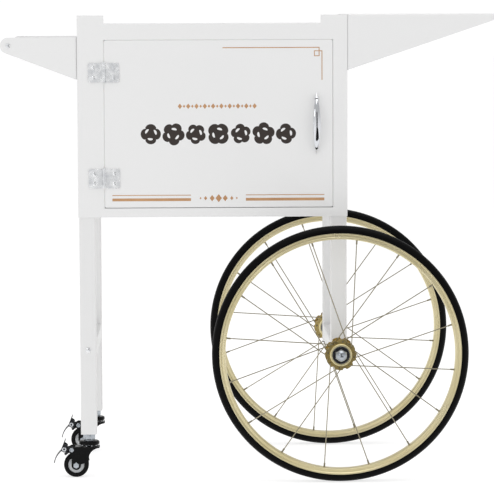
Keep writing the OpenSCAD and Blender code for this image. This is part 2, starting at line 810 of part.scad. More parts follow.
// Threaded stem with its washer and locknut; its riveted lower end holds the fork up.
module caster_stems() {
  color(chrome) for (sy = [-1, 1]) at_caster(sy) {
    translate([0, 0, kingpin_z]) cylinder(r = stem_r, h = leg_foot_z + plug_len - 2 - kingpin_z);
    translate([0, 0, kingpin_z]) cylinder(r = 8, h = 4);
    translate([0, 0, head_z[1]]) cylinder(r = 11, h = 2);
    translate([0, 0, head_z[1] + 2 - tiny]) cylinder(r = 12, h = leg_foot_z - head_z[1] - 2, $fn = 6);
  }
}

// Fixed upper half of the swivel: a thick disc with a bevelled top.
module caster_heads() {
  bevel = 2;
  color(black) for (sy = [-1, 1]) at_caster(sy) difference() {
    union() {
      translate([0, 0, head_z[0]]) cylinder(r = head_r, h = head_z[1] - head_z[0] - bevel);
      translate([0, 0, head_z[1] - bevel]) cylinder(r1 = head_r, r2 = head_r - bevel, h = bevel);
    }
    translate([0, 0, head_z[0] - 1]) cylinder(r = stem_r + 0.05, h = 20);
  }
}

// Balls of the swivel, under the fixed head.
module caster_balls() {
  color(chrome) for (sy = [-1, 1], k = [0:ball_count - 1]) at_caster(sy)
    rotate(k * 360 / ball_count) translate([ball_ring_r, 0, ball_z]) sphere(ball_r);
}

// Outline of a fork cheek: a plate from the head that swoops down to the axle.
module cheek_outline() {
  swoop_c = [21.5, 37];
  swoop_r = 22.6;
  difference() {
    union() {
      polygon([
        [-caster_trail - 9.5, caster_r], [-34, 40], pedal_pivot - [6, 4], [-35, fork_head_z[1]],
        [head_r, fork_head_z[1]], [head_r, swoop_c[1]], swoop_c - [swoop_r, 0],
        [-caster_trail + 9.3, caster_r - 2]
      ]);
      translate([-caster_trail, caster_r]) circle(9.5);
      translate(pedal_pivot) circle(6.5);
    }
    translate(swoop_c) circle(swoop_r);
  }
}

// Fork: a round head with a bore for the stem, a web and two cheeks for the wheel.
module caster_fork(sy) {
  web_x = [-28, head_r - 4];
  color(black) at_caster(sy) difference() {
    union() {
      translate([0, 0, fork_head_z[0]]) cylinder(r = fork_head_r, h = fork_head_z[1] - fork_head_z[0]);
      for (side = [-1, 1])
        upright(side * (fork_inner + fork_t / 2) - fork_t / 2, fork_t) cheek_outline();
      slab([web_x[0], -fork_inner - tiny, fork_head_z[0] + 1],
           [web_x[1], fork_inner + tiny, fork_head_z[1]]);
    }
    translate([0, 0, fork_head_z[0] - 1]) cylinder(r = stem_r + 0.05, h = 10);
    rod_y(-caster_trail, caster_r, -20, 20, 3);
    rod_y(pedal_pivot[0], pedal_pivot[1], -20, 20, 2.5);
  }
}

// Axle bolt and nut for the wheel, and the rivet that the brake pedal turns on.
module caster_pins(sy) {
  outside = fork_inner + fork_t;
  color(chrome) at_caster(sy) {
    rod_y(-caster_trail, caster_r, -outside, outside, 3);
    for (side = [-1, 1]) translate([-caster_trail, side * outside, caster_r]) rotate([-side * 90, 0, 0])
      cylinder(r = 6.2, h = 4, $fn = 6);
    rod_y(pedal_pivot[0], pedal_pivot[1], -outside, outside, 2.5);
    for (side = [-1, 1]) translate([pedal_pivot[0], side * outside, pedal_pivot[1]]) rotate([-side * 90, 0, 0])
      cylinder(r1 = 4.8, r2 = 3.4, h = 2);
  }
}

pedal_half = 11.5;
pedal_t = 1.6;
pedal_top = [-48.5, 76];
pedal_knee = [-57.2, 53.8];
tongue_centre = [-30, 22.5];
tongue_r = norm(pedal_knee - tongue_centre);

// Band of a ring about c, from radius r0 to r1 and from angle a0 to a1.
module ring_band(c, r0, r1, a0, a1) {
  far = 2 * r1;
  translate(c) intersection() {
    difference() {
      circle(r1);
      circle(r0);
    }
    polygon([[0, 0], far * [cos(a0), sin(a0)], far * [cos(a1), sin(a1)]]);
  }
}

// Pedal's side view without its lugs: a straight plate above, a curved tongue below.
module pedal_plate() {
  d = (pedal_top - pedal_knee) / norm(pedal_top - pedal_knee);
  n = [d[1], -d[0]];
  polygon([pedal_knee - d, pedal_top, pedal_top + pedal_t * n, pedal_knee + pedal_t * n - d]);
  ring_band(tongue_centre, tongue_r - pedal_t, tongue_r, 130, 171);
}

// Brake pedal: a plate with a tongue for the foot, two lugs on the pivot and a shoe over the tyre.
module caster_pedal(sy) {
  lug_t = 2;
  color(black) at_caster(sy) {
    for (side = [-1, 1]) difference() {
      upright(side * (pedal_half - lug_t / 2) - lug_t / 2, lug_t) {
        translate(pedal_pivot) circle(5.6);
        polygon([
          pedal_knee, [-51, 69.6], [-42, 64], pedal_pivot + [0, 5.6], pedal_pivot - [1, 5.5], [-49, 49.5]
        ]);
      }
      rod_y(pedal_pivot[0], pedal_pivot[1], -20, 20, 2.55);
    }
    rod_y(pedal_rivet[0], pedal_rivet[1], -pedal_half - 1, pedal_half + 1, 4.4);
    upright(-pedal_half, 2 * pedal_half) pedal_plate();
    upright(-pedal_half, 2 * pedal_half)
      ring_band([-caster_trail, caster_r], caster_r + 3.5, caster_r + 8, 117, 137);
  }
}

module caster_core(sy) {
  color(grey) at_caster(sy) difference() {
    union() {
      rod_y(-caster_trail, caster_r, -fork_inner + 0.5, fork_inner - 0.5, 7);
      rod_y(-caster_trail, caster_r, -7, 7, 16);
    }
    rod_y(-caster_trail, caster_r, -20, 20, 3.05);
  }
}

module caster_tyre(sy) {
  half = caster_tread / 2;
  round_r = 4;
  color(black) at_caster(sy) translate([-caster_trail, 0, caster_r]) ring_y() {
    translate([16, -half]) square([caster_r - 16 - round_r, caster_tread]);
    translate([16, -half + round_r]) square([caster_r - 16, caster_tread - 2 * round_r]);
    for (side = [-1, 1]) translate([caster_r - round_r, side * (half - round_r)]) circle(round_r);
  }
}

module caster_front_fork() { caster_fork(-1); }
module caster_front_pins() { caster_pins(-1); }
module caster_front_pedal() { caster_pedal(-1); }
module caster_front_core() { caster_core(-1); }
module caster_front_tyre() { caster_tyre(-1); }
module caster_back_fork() { caster_fork(1); }
module caster_back_pins() { caster_pins(1); }
module caster_back_pedal() { caster_pedal(1); }
module caster_back_core() { caster_core(1); }
module caster_back_tyre() { caster_tyre(1); }

front_frame();
side_panel_left();
side_panel_right();
back_panel();
bottom_panel();
top_platform();
back_panel_screws();
leg_front_left();
leg_back_left();
leg_front_right();
leg_back_right();
leg_plugs();
leg_bolts();
crossbar_left();
crossbar_right();
crossbar_screws();
push_bar_arm_front();
push_bar_arm_back();
push_bar();
push_bar_screws();
arm_bolts();
side_tray();
tray_bolts();
hinge_frame_leaves();
hinge_pins();
hinge_frame_screws();
magnetic_catch();
door_panel();
hinge_door_leaves();
hinge_door_screws();
door_handle();
handle_screws();
strike_plate();
axle();
axle_spacers();
axle_washers();
axle_dome_nuts();
tyre_front();
rim_front();
spokes_front();
hub_front();
bearings_front();
tyre_back();
rim_back();
spokes_back();
hub_back();
bearings_back();
caster_stems();
caster_heads();
caster_balls();
caster_front_fork();
caster_front_pins();
caster_front_pedal();
caster_front_core();
caster_front_tyre();
caster_back_fork();
caster_back_pins();
caster_back_pedal();
caster_back_core();
caster_back_tyre();
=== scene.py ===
from math import cos, pi, radians, sin

import bmesh
import bpy
import numpy as np
from mathutils import Matrix, Vector
from mathutils.geometry import tessellate_polygon


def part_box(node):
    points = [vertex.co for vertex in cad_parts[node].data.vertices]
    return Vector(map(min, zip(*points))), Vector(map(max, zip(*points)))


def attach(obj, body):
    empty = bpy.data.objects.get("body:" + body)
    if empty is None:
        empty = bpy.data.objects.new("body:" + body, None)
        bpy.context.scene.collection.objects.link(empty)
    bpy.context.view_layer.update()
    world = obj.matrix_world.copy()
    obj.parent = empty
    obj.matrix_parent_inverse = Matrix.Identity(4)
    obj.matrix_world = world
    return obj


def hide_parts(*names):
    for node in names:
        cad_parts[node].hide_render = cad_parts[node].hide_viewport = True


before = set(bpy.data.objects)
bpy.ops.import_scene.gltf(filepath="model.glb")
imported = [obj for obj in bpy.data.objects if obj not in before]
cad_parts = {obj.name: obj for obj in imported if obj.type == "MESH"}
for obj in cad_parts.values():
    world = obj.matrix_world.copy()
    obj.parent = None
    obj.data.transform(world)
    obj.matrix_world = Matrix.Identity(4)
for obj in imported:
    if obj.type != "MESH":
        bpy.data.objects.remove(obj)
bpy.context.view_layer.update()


# ---------------------------------------------------------------- camera, light and floor
# A long lens looks almost straight at the cart's front, from a little above its tray.

def aim(place, yaw, pitch, roll):
    """Camera matrix: forward is (-sin yaw cos pitch, cos yaw cos pitch, sin pitch), right is
    level and square to it, up is right x forward, and roll turns right and up about forward."""
    forward = Vector((-sin(yaw) * cos(pitch), cos(yaw) * cos(pitch), sin(pitch)))
    right = Vector((cos(yaw), sin(yaw), 0))
    up = right.cross(forward)
    across = cos(roll) * right + sin(roll) * up
    above = cos(roll) * up - sin(roll) * right
    turn = Matrix((across, above, -forward)).transposed()
    return Matrix.Translation(place) @ turn.to_4x4()


camera = bpy.data.objects.new("camera", bpy.data.cameras.new("camera"))
camera.data.lens = 208.7
camera.data.sensor_width = 36
camera.data.clip_end = 60
camera.matrix_world = aim((-0.1122, -5.8671, 0.928), radians(-1.08), radians(-4.695), radians(-0.225))
bpy.context.collection.objects.link(camera)
bpy.context.scene.camera = camera


def linear(hex_colour):
    """sRGB hex to linear RGBA: c / 12.92 up to 0.04045, above it ((c + 0.055) / 1.055) ** 2.4."""
    c = np.array([int(hex_colour[i:i + 2], 16) for i in (1, 3, 5)]) / 255
    rgb = np.where(c <= 0.04045, c / 12.92, ((c + 0.055) / 1.055) ** 2.4)
    return (*map(float, rgb), 1.0)


def add(tree, kind, settings=None, links=None):
    """Adds a node. Settings give values to sockets or properties, links join sockets to outputs."""
    shader = tree.nodes.new(kind)
    for key, value in (settings or {}).items():
        if key in shader.inputs:
            shader.inputs[key].default_value = value
        else:
            setattr(shader, key, value)
    for key, output in (links or {}).items():
        tree.links.new(output, shader.inputs[key])
    return shader


def material(name, colour, sockets, grain, depth, rough, patch=60, stretch=(1, 1, 1), tint=None):
    """Principled material with two noises in object space. The fine one, of size grain mm,
    raises the surface by depth mm; stretch squeezes it along the axes. The broad one, of size
    patch mm, moves the roughness between the two values of rough and the colour to tint."""
    made = bpy.data.materials.new(name)
    made.use_nodes = True
    tree = made.node_tree
    tree.nodes.clear()
    place = add(tree, "ShaderNodeTexCoord").outputs["Object"]
    squeezed = add(tree, "ShaderNodeMapping", {"Scale": [1000 / grain * s for s in stretch]},
                   {"Vector": place})
    fine = add(tree, "ShaderNodeTexNoise", {"Scale": 1, "Detail": 2}, {"Vector": squeezed.outputs[0]})
    bump = add(tree, "ShaderNodeBump", {"Strength": 1, "Distance": depth / 1000},
               {"Height": fine.outputs[0]})
    broad = add(tree, "ShaderNodeTexNoise", {"Scale": 1000 / patch, "Detail": 3}, {"Vector": place})
    roughness = add(tree, "ShaderNodeMapRange",
                    {"From Min": 0.3, "From Max": 0.7, "To Min": rough[0], "To Max": rough[1]},
                    {"Value": broad.outputs[0]})
    ramp = add(tree, "ShaderNodeValToRGB", {}, {"Fac": broad.outputs[0]})
    ramp.color_ramp.elements[0].position = 0.35
    ramp.color_ramp.elements[0].color = linear(colour)
    ramp.color_ramp.elements[1].position = 0.7
    ramp.color_ramp.elements[1].color = linear(tint or colour)
    shader = add(tree, "ShaderNodeBsdfPrincipled", sockets,
                 {"Base Color": ramp.outputs["Color"], "Roughness": roughness.outputs[0],
                  "Normal": bump.outputs[0]})
    add(tree, "ShaderNodeOutputMaterial", {}, {"Surface": shader.outputs[0]})
    return made


# matt white acrylic under and behind the cart, lit from below like a light table
acrylic = material("white_acrylic", "#BFBFBF", {"Specular IOR Level": 0.1, "Emission Color": (1, 1, 1, 1),
                   "Emission Strength": 0.66}, 4, 0.02, (0.9, 0.95))
floor_mesh = bpy.data.meshes.new("floor")
floor_mesh.from_pydata([(-300, -300, 0), (300, -300, 0), (300, 300, 0), (-300, 300, 0)], [], [(0, 1, 2, 3)])
floor_mesh.materials.append(acrylic)
floor = bpy.data.objects.new("floor", floor_mesh)
bpy.context.collection.objects.link(floor)

# white cove all round, brightest at the horizon: the strength falls with the height of the view
world = bpy.data.worlds.new("white_cove")
world.use_nodes = True
world.node_tree.nodes.clear()
outwards = add(world.node_tree, "ShaderNodeTexCoord").outputs["Generated"]
height = add(world.node_tree, "ShaderNodeSeparateXYZ", {}, {"Vector": outwards}).outputs["Z"]
strength = add(world.node_tree, "ShaderNodeMapRange",
               {"From Min": 0.0, "From Max": 0.5, "To Min": 1.03, "To Max": 0.62}, {"Value": height})
cove = add(world.node_tree, "ShaderNodeBackground", {"Color": (1, 1, 1, 1)},
           {"Strength": strength.outputs[0]})
add(world.node_tree, "ShaderNodeOutputWorld", {}, {"Surface": cove.outputs[0]})
bpy.context.scene.world = world
bpy.context.scene.view_settings.view_transform = "Standard"


def softbox(name, place, target, wide, high, power):
    """Area light of wide x high metres at place, facing target, not seen by the camera itself."""
    lamp = bpy.data.objects.new(name, bpy.data.lights.new(name, "AREA"))
    lamp.data.shape = "RECTANGLE"
    lamp.data.size = wide
    lamp.data.size_y = high
    lamp.data.energy = power
    lamp.location = place
    lamp.rotation_euler = (Vector(target) - Vector(place)).to_track_quat("-Z", "Y").to_euler()
    lamp.visible_camera = False
    bpy.context.collection.objects.link(lamp)


softbox("overhead", (0.3, -0.4, 4.5), (0, 0, 0), 4, 4, 75)
softbox("key", (-2.2, -3.4, 2.6), (0, 0, 0.6), 1.4, 1.4, 10)

# dark card seen only in reflections, that gives metal and rubber their dark side: it lies on the
# floor before the cart and stands up behind the camera's side of it
card_black = material("card_black", "#181818", {"Specular IOR Level": 0.0}, 4, 0.02, (0.9, 0.95))
left, right, near, far, tall = -0.05, 0.75, -0.8, -4.2, 3.0
card_mesh = bpy.data.meshes.new("dark_card")
card_mesh.from_pydata([(left, near, 0.004), (right, near, 0.004), (right, far, 0.004), (left, far, 0.004),
                       (right, far, tall), (left, far, tall)], [], [(0, 1, 2, 3), (3, 2, 4, 5)])
card_mesh.materials.append(card_black)
card = bpy.data.objects.new("dark_card", card_mesh)
card.visible_camera = card.visible_diffuse = card.visible_shadow = False
bpy.context.collection.objects.link(card)


# ---------------------------------------------------------------- cabinet sheets
# Front, back and side sheets, floor and platform of 1.5 mm steel, powder coated satin white.
# They keep the frame's own meshes: the cut edges of the front frame and the platform are broken by a small radius.

def mm(node):
    """Lowest and highest corner of a CAD node, in mm."""
    low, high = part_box(node)
    return np.array(low) * 1000, np.array(high) * 1000


def keep(node, finish, break_mm=0.0):
    """Shows a CAD node with a finish. Its edges get a radius of break_mm, if any."""
    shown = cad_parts[node]
    shown.data.materials.clear()
    shown.data.materials.append(finish)
    if break_mm:
        weld = shown.modifiers.new("weld", "WELD")
        weld.merge_threshold = 1e-5
        round_off = shown.modifiers.new("round_off", "BEVEL")
        round_off.width = break_mm / 1000
        round_off.segments = 2
        round_off.limit_method = "ANGLE"
        round_off.angle_limit = radians(40)
        round_off.use_clamp_overlap = True
        shown.modifiers.new("even_shade", "WEIGHTED_NORMAL")


# satin white powder coat with a faint orange peel of about 1.5 mm
white_coat = material("white_powder_coat", "#E5E5E5", {"IOR": 1.5}, 1.5, 0.008, (0.34, 0.42))
for node in ("front_frame", "top_platform"):
    keep(node, white_coat, 0.4)
for node in ("side_panel_left", "side_panel_right", "back_panel", "bottom_panel"):
    keep(node, white_coat)


# ---------------------------------------------------------------- door
# A pan folded from 1.5 mm steel with the cabinet's satin white coat.
# Every fold has a small radius, and a lip is turned in along the back edge.

def loft(rings, turn=False, caps=False):
    """Skin over rings of points, shaped (rings, points, 3). Each ring closes on itself, turn joins
    the last ring to the first, and caps fills both ends."""
    count, size = rings.shape[:2]
    i, j = np.meshgrid(np.arange(count if turn else count - 1), np.arange(size), indexing="ij")
    i, j, below, beside = i.ravel(), j.ravel(), ((i + 1) % count).ravel(), ((j + 1) % size).ravel()
    faces = np.stack([i * size + j, i * size + beside, below * size + beside, below * size + j], -1).tolist()
    if caps:
        faces += [list(range(size))[::-1], list(range((count - 1) * size, count * size))]
    return rings.reshape(-1, 3), faces


def joined(*meshes):
    """One mesh of several (points, faces) pairs."""
    starts = np.cumsum([0] + [len(points) for points, _ in meshes[:-1]])
    faces = [[int(k + start) for k in face] for (_, part), start in zip(meshes, starts) for face in part]
    return np.concatenate([points for points, _ in meshes]), faces


def piece(name, mesh, finish, body, replaces=(), break_mm=0.0, sharp=35):
    """Makes an object from (points in mm, faces). It welds equal points, turns faces outwards, smooths
    edges under sharp degrees and breaks the others by break_mm. It rides on body."""
    points, faces = mesh
    data = bpy.data.meshes.new(name)
    data.from_pydata((np.asarray(points, float) / 1000).tolist(), [], faces)
    work = bmesh.new()
    work.from_mesh(data)
    bmesh.ops.remove_doubles(work, verts=work.verts, dist=2e-6)
    bmesh.ops.dissolve_degenerate(work, edges=work.edges, dist=1e-7)
    bmesh.ops.recalc_face_normals(work, faces=work.faces)
    work.to_mesh(data)
    work.free()
    data.polygons.foreach_set("use_smooth", [True] * len(data.polygons))
    data.set_sharp_from_angle(angle=radians(sharp))
    data.materials.append(finish)
    made = bpy.data.objects.new(name, data)
    bpy.context.collection.objects.link(made)
    if break_mm:
        round_off = made.modifiers.new("round_off", "BEVEL")
        round_off.width = break_mm / 1000
        round_off.segments = 2
        round_off.limit_method = "ANGLE"
        round_off.angle_limit = radians(sharp)
        round_off.harden_normals = True
    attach(made, body)
    if replaces:
        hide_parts(*([replaces] if isinstance(replaces, str) else replaces))
    return made


def fold(radius, steps=5):
    """(inset, depth) along a quarter circle, from the face (inset = radius) to the side (depth =
    radius): inset = r (1 - sin a), depth = r (1 - cos a)."""
    a = np.linspace(0, pi / 2, steps)
    return np.stack([radius * (1 - np.sin(a)), radius * (1 - np.cos(a))], -1)


low, high = mm("door_panel")
door_front, door_depth, steel = low[1], high[1] - low[1], 1.5
section = np.concatenate([
    [[6, steel], [steel, steel + 0.4], [steel, door_depth - steel], [14, door_depth - steel],
     [14, door_depth]],
    (fold(2.0) * [1, -1] + [0, door_depth]), fold(1.2)[::-1]])


def rounded_rings(low, high, section, corner, steps=7):
    """Rounded rectangles in XZ, one for each (inset, depth) of section. The corner's radius
    shrinks by the inset, and y is the front plus the depth."""
    inset, depth = section[:, :1], section[:, 1:]
    a = np.radians(np.concatenate([np.linspace(q, q + 90, steps) for q in (0, 90, 180, 270)]))
    r = np.maximum(corner - inset, 0.3)
    side_x, side_z = np.repeat([1, -1, -1, 1], steps), np.repeat([1, 1, -1, -1], steps)
    x = np.where(side_x > 0, high[0] - inset - r, low[0] + inset + r) + r * np.cos(a)
    z = np.where(side_z > 0, high[2] - inset - r, low[2] + inset + r) + r * np.sin(a)
    return np.stack([x, low[1] + depth + 0 * x, z], -1)


piece("door", loft(rounded_rings(low, high, section, 3.4), caps=True), white_coat, "door",
      "door_panel", sharp=50)

# door seal: white silicone strips glued to three sides of the jamb, just behind the front
gap = 1.0
left, right, top, bottom = low[0] - gap, high[0] + gap, high[2] + gap, low[2] - gap
front = door_front + 0.15
seal_white = material("white_silicone", "#E8E8E6", {"IOR": 1.41, "Subsurface Weight": 0.1, "Subsurface Scale": 0.002},
                      1.0, 0.002, (0.4, 0.5))


def block(x0, x1, y0, y1, z0, z1):
    """Box between two corners."""
    ring = np.array([(x0, y0), (x1, y0), (x1, y1), (x0, y1)], float)
    return loft(np.stack([np.column_stack([ring, np.full(4, z)]) for z in (z0, z1)]), caps=True)


seals = [block(left, left + 0.9, front, front + 9, bottom, top),
         block(right - 0.6, right, front, front + 9, bottom, top),
         block(left + 0.9, right - 0.6, front, front + 9, top - 0.9, top)]
piece("door_seal", joined(*seals), seal_white, "cart")

# ---------------------------------------------------------------- printed ornament
# Screen printing on the door: gold rules and lines, a row of seven dark popped kernels,
# and small gold diamonds above and below them. The ink stands 0.04 mm proud.

def flat_shape(outline, y, thick):
    """Plate with an outline of (x, z) points, from y towards the front by thick."""
    outline = np.asarray(outline, float)
    near = np.stack([outline[:, 0], np.full(len(outline), y - thick), outline[:, 1]], -1)
    return loft(np.stack([near + [0, thick, 0], near]), caps=True)


def strip(x0, x1, z0, z1):
    """Printed rectangle between two corners, in mm from the door's left edge and lower edge."""
    corners = np.array([(x0, z0), (x1, z0), (x1, z1), (x0, z1)]) + low[[0, 2]]
    return flat_shape(corners, door_front + 0.01, 0.05)


def diamond(x, z, r):
    """Printed diamond of half-height r about a point measured as in strip."""
    corners = np.array([(x - 0.8 * r, z), (x, z - r), (x + 0.8 * r, z), (x, z + r)]) + low[[0, 2]]
    return flat_shape(corners, door_front + 0.01, 0.05)


# warm gold ink, a fine metal powder in clear varnish
gold_ink = material("gold_ink", "#B98B62", {"Metallic": 0.25}, 0.4, 0.002, (0.38, 0.5), tint="#C69A70")
rows = [strip(235, 427, 315.5, 317.3), strip(425.2, 427, 299, 315.5), strip(416, 425.2, 299, 300.6),
        strip(416, 417.6, 300.6, 310.4), strip(417.6, 425.2, 308.8, 310.4), strip(427, 432.6, 308.8, 310.4),
        strip(430.8, 432.6, 252, 308.8)]
for x0, x1 in ((15, 171), (280, 436)):
    rows += [strip(x0, x1, 23.8, 25.4), strip(x0, x1, 13, 18.6)]
rows += [diamond(x, 201, 3.2 if k % 2 else 5.4) for k, x in enumerate(np.linspace(150, 298, 19))]
rows += [diamond(x, 18.4, r) for x, r in ((190, 2.4), (200, 4.2), (213, 6.2), (226, 8), (239, 6.2), (252, 4.2), (262, 2.4))]
piece("door_print_gold", joined(*rows), gold_ink, "door")


def kernel(x, z, r, lobes, phase, petal):
    """Printed popped kernel: the radius is r (0.74 + 0.26 |cos(lobes a / 2 + phase)| ** petal)."""
    a = np.linspace(0, 2 * pi, 96, endpoint=False)
    size = r * (0.74 + 0.26 * np.abs(np.cos(lobes * a / 2 + phase)) ** petal)
    return flat_shape(np.stack([x + low[0] + size * np.cos(a), z + low[2] + size * np.sin(a)], -1),
                      door_front + 0.01, 0.05)


# near-black brown ink
dark_ink = material("dark_ink", "#2B211C", {"IOR": 1.5}, 0.4, 0.002, (0.4, 0.5))
kernels = [kernel(x, 146, 22.5 if k % 2 else 20, 5 if k % 3 else 4, 0.5 * k, 0.6)
           for k, x in enumerate(np.linspace(92, 360, 7))]
piece("door_print_dark", joined(*kernels), dark_ink, "door")

# pale inner curls of the kernels, where the coat shows through the dark ink
curls = []
for k, x in enumerate(np.linspace(92, 360, 7)):
    for turn in (0.4 + k, 2.5 + k, 4.6 + k):
        a = np.linspace(0, 2 * pi, 24, endpoint=False)
        r = 3.4 * np.where(np.cos(a) > 0, 1, 0.35)
        outline = np.stack([r * np.cos(a), 5.2 * np.sin(a)], -1) @ np.array(
            [(cos(turn), sin(turn)), (-sin(turn), cos(turn))])
        centre = low[[0, 2]] + [x + 9 * cos(turn), 146 + 9 * sin(turn)]
        curls.append(flat_shape(outline + centre, door_front - 0.03, 0.03))
piece("door_print_curls", joined(*curls), white_coat, "door")

# ---------------------------------------------------------------- door handle
# Bow handle cast in zinc alloy and chromed: a lens-shaped band that narrows to a point at both
# ends, with a crowned face, on two bosses that screws hold from behind the door.

# chrome plate, almost a mirror, with fine polishing haze
chrome = material("chrome_plate", "#D4D6DA", {"Metallic": 1.0}, 0.6, 0.0006, (0.07, 0.13))
low, high = mm("door_handle")
reach, half_len, half_w = high[1] - low[1], (high[2] - low[2]) / 2, (high[0] - low[0]) / 2
handle_x, handle_z = (low[0] + high[0]) / 2, (low[2] + high[2]) / 2
bow_r = (half_len ** 2 + reach ** 2) / (2 * reach)
lens_r = (half_len ** 2 + half_w ** 2) / (2 * half_w)
along = half_len * np.sin(np.linspace(-pi / 2, pi / 2, 49))
wide = np.maximum(np.sqrt(lens_r ** 2 - along ** 2) - lens_r + half_w, 0.05)
outer = high[1] - reach + bow_r - np.sqrt(bow_r ** 2 - along ** 2)
thick = np.clip(5.0 - 0.0011 * along ** 2, 1.0, 4.8) * np.clip(wide / 1.4, 0.1, 1)
a = np.linspace(0, 2 * pi, 28, endpoint=False)
# crowned section: x = w cos a |cos a| ** -0.3, and the face stands t (1 - |cos a| ** 1.6) / 2 proud
across = np.sign(np.cos(a)) * np.abs(np.cos(a)) ** 0.7
proud = np.sign(np.sin(a)) * (1 - np.abs(np.cos(a)) ** 1.6) ** 0.6 / 2
band = np.stack([handle_x + wide[:, None] * across,
                 np.minimum((outer + thick / 2)[:, None] - thick[:, None] * proud, high[1] - 0.02),
                 handle_z + along[:, None] + 0 * across], -1)


def lathe(profile, sides=48, flats=0.0, turn=False):
    """Surface of revolution about Z from (radius, height) rows. With flats, the width across a
    hexagon in mm, the radius is min(radius, flats / 2 / cos(a mod 60 - 30)). turn closes the profile."""
    profile = np.asarray(profile, float)
    a = np.linspace(0, 2 * pi, sides, endpoint=False)
    r = profile[:, :1] + 0 * a
    if flats:
        r = np.minimum(r, flats / 2 / np.cos(np.mod(a, pi / 3) - pi / 6))
    return loft(np.stack([r * np.cos(a), r * np.sin(a), profile[:, 1:] + 0 * a], -1), turn=turn)


def seat(mesh, place, facing):
    """Moves a mesh drawn about Z: its origin goes to place and its Z turns to facing."""
    points, faces = mesh
    z = np.array(facing, float) / np.linalg.norm(facing)
    x = np.array((0, 0, 1.0) if abs(z[2]) < 0.9 else (1.0, 0, 0))
    x = x - z * (x @ z)
    x /= np.linalg.norm(x)
    return points @ np.array([x, np.cross(z, x), z]) + place, faces


bosses = [seat(lathe([(0, 0), (3.2, 0), (3.2, 5.5), (2.9, 8), (2.9, 11), (0, 11)], 32),
               (handle_x, high[1], handle_z + side * 48), (0, -1, 0)) for side in (-1, 1)]
piece("handle", joined(loft(band, caps=True), *bosses), chrome, "door", "door_handle",
      sharp=60)

# ---------------------------------------------------------------- hinges
# Butt hinges stamped from 1.5 mm steel and plated bright: leaves with rounded outer corners,
# two on the frame and two on the door, with their knuckles curled round a pin with a low head.

# bright zinc plate with a faint grain from stamping
zinc = material("zinc_plate", "#F0F1F2", {"Metallic": 1.0}, 0.9, 0.003, (0.2, 0.34), patch=12, tint="#D3D5D8")


def sheet(*edges):
    """Closed sheet between rings of points. The first edge is its outline and the others its holes.
    Each edge is a stack of rings from the near face to the far face, and both faces are filled."""
    walls = [loft(np.asarray(rings, float)) for rings in edges]
    mesh, face_fill = joined(*walls), []
    for level in (0, -1):
        loops = [[Vector(p) for p in rings[level]] for rings in edges]
        starts = np.cumsum([0] + [len(points) for points, _ in walls[:-1]])
        index = np.concatenate([start + (0 if level == 0 else len(rings) * len(rings[0]) - len(rings[0]))
                                + np.arange(len(rings[0])) for start, rings in zip(starts, edges)])
        face_fill += [[int(index[k]) for k in tri] for tri in tessellate_polygon(loops)]
    return mesh[0], mesh[1] + face_fill


def standing(outline, y0, y1):
    """Ring stack of an (x, z) outline from y0 to y1."""
    outline = np.asarray(outline, float)
    return np.stack([np.stack([outline[:, 0], np.full(len(outline), y), outline[:, 1]], -1)
                     for y in (y0, y1)])


def circle(x, z, r, steps=24):
    """Points of a circle."""
    a = np.linspace(0, 2 * pi, steps, endpoint=False)
    return np.stack([x + r * np.cos(a), z + r * np.sin(a)], -1)


def round_corners(corners, radius, steps=5):
    """Outline with its corners cut by arcs. radius is one value or one for each corner."""
    corners = np.asarray(corners, float)
    radius = np.broadcast_to(radius, len(corners))
    before, after = np.roll(corners, 1, 0) - corners, np.roll(corners, -1, 0) - corners
    before /= np.linalg.norm(before, axis=1)[:, None]
    after /= np.linalg.norm(after, axis=1)[:, None]
    half = np.arccos(np.clip((before * after).sum(1), -1, 1)) / 2
    cut = (radius / np.tan(half))[:, None]
    t = np.linspace(0, 1, steps)[None, :, None]
    start, end = (corners + before * cut)[:, None], (corners + after * cut)[:, None]
    # quadratic curve with the corner as its middle control point, near enough to the arc
    return ((1 - t) ** 2 * start + 2 * t * (1 - t) * corners[:, None] + t ** 2 * end).reshape(-1, 2)


low, high = mm("hinge_pins")
pin_x, pin_y = (low[0] + high[0]) / 2, (low[1] + high[1]) / 2
hinge_h, knuckle_r, leaf_t = 38.0, 3.0, 1.5
hinge_places = (low[2] + hinge_h / 2, high[2] - 1.2 - hinge_h / 2)
for side, name, body in ((-1, "hinge_frame_leaves", "cart"), (1, "hinge_door_leaves", "door")):
    parts = []
    for z in hinge_places:
        z0, back = z - hinge_h / 2, pin_y + knuckle_r
        leaf = round_corners([(3.5, z0), (31, z0), (31, z0 + hinge_h), (3.5, z0 + hinge_h)], [0.1, 3, 3, 0.1])
        leaf[:, 0] = pin_x + side * leaf[:, 0]
        holes = [standing(circle(pin_x + side * 20, z + dz, 1.85), back - leaf_t, back) for dz in (-10, 10)]
        parts.append(sheet(standing(leaf, back - leaf_t, back), *holes))
        step = hinge_h / 5
        for k in range(0 if side < 0 else 1, 5, 2):
            # a knuckle is the leaf's own strip, curled once round the pin
            turn = np.linspace(0, 1.55 * pi, 22)
            curl = np.stack([3 * np.sin(turn) * -side, 3 * np.cos(turn)], -1)
            bore = curl / 3 * 1.55
            strip_end = np.array([(side * 4.2, 3), (side * 4.2, 1.5)])
            loop = np.concatenate([strip_end[:1], curl, bore[::-1], strip_end[1:]])
            levels = np.array([z0 + k * step + 0.15, z0 + (k + 1) * step - 0.15])
            rings = np.stack([np.stack([pin_x + loop[:, 0], pin_y + loop[:, 1], np.full(len(loop), level)], -1)
                              for level in levels])
            parts.append(sheet(rings))
    piece(name.replace("hinge", "hinges"), joined(*parts), zinc, body, name, break_mm=0.2)
pins = [seat(lathe([(0, -38), (1.2, -38), (1.45, -37.6), (1.45, 0), (2.6, 0.05), (2.6, 0.7), (2.1, 1.2), (0, 1.2)], 24),
             (pin_x, pin_y, z + hinge_h / 2), (0, 0, 1)) for z in hinge_places]
piece("hinge_pin_set", joined(*pins), zinc, "cart", "hinge_pins")

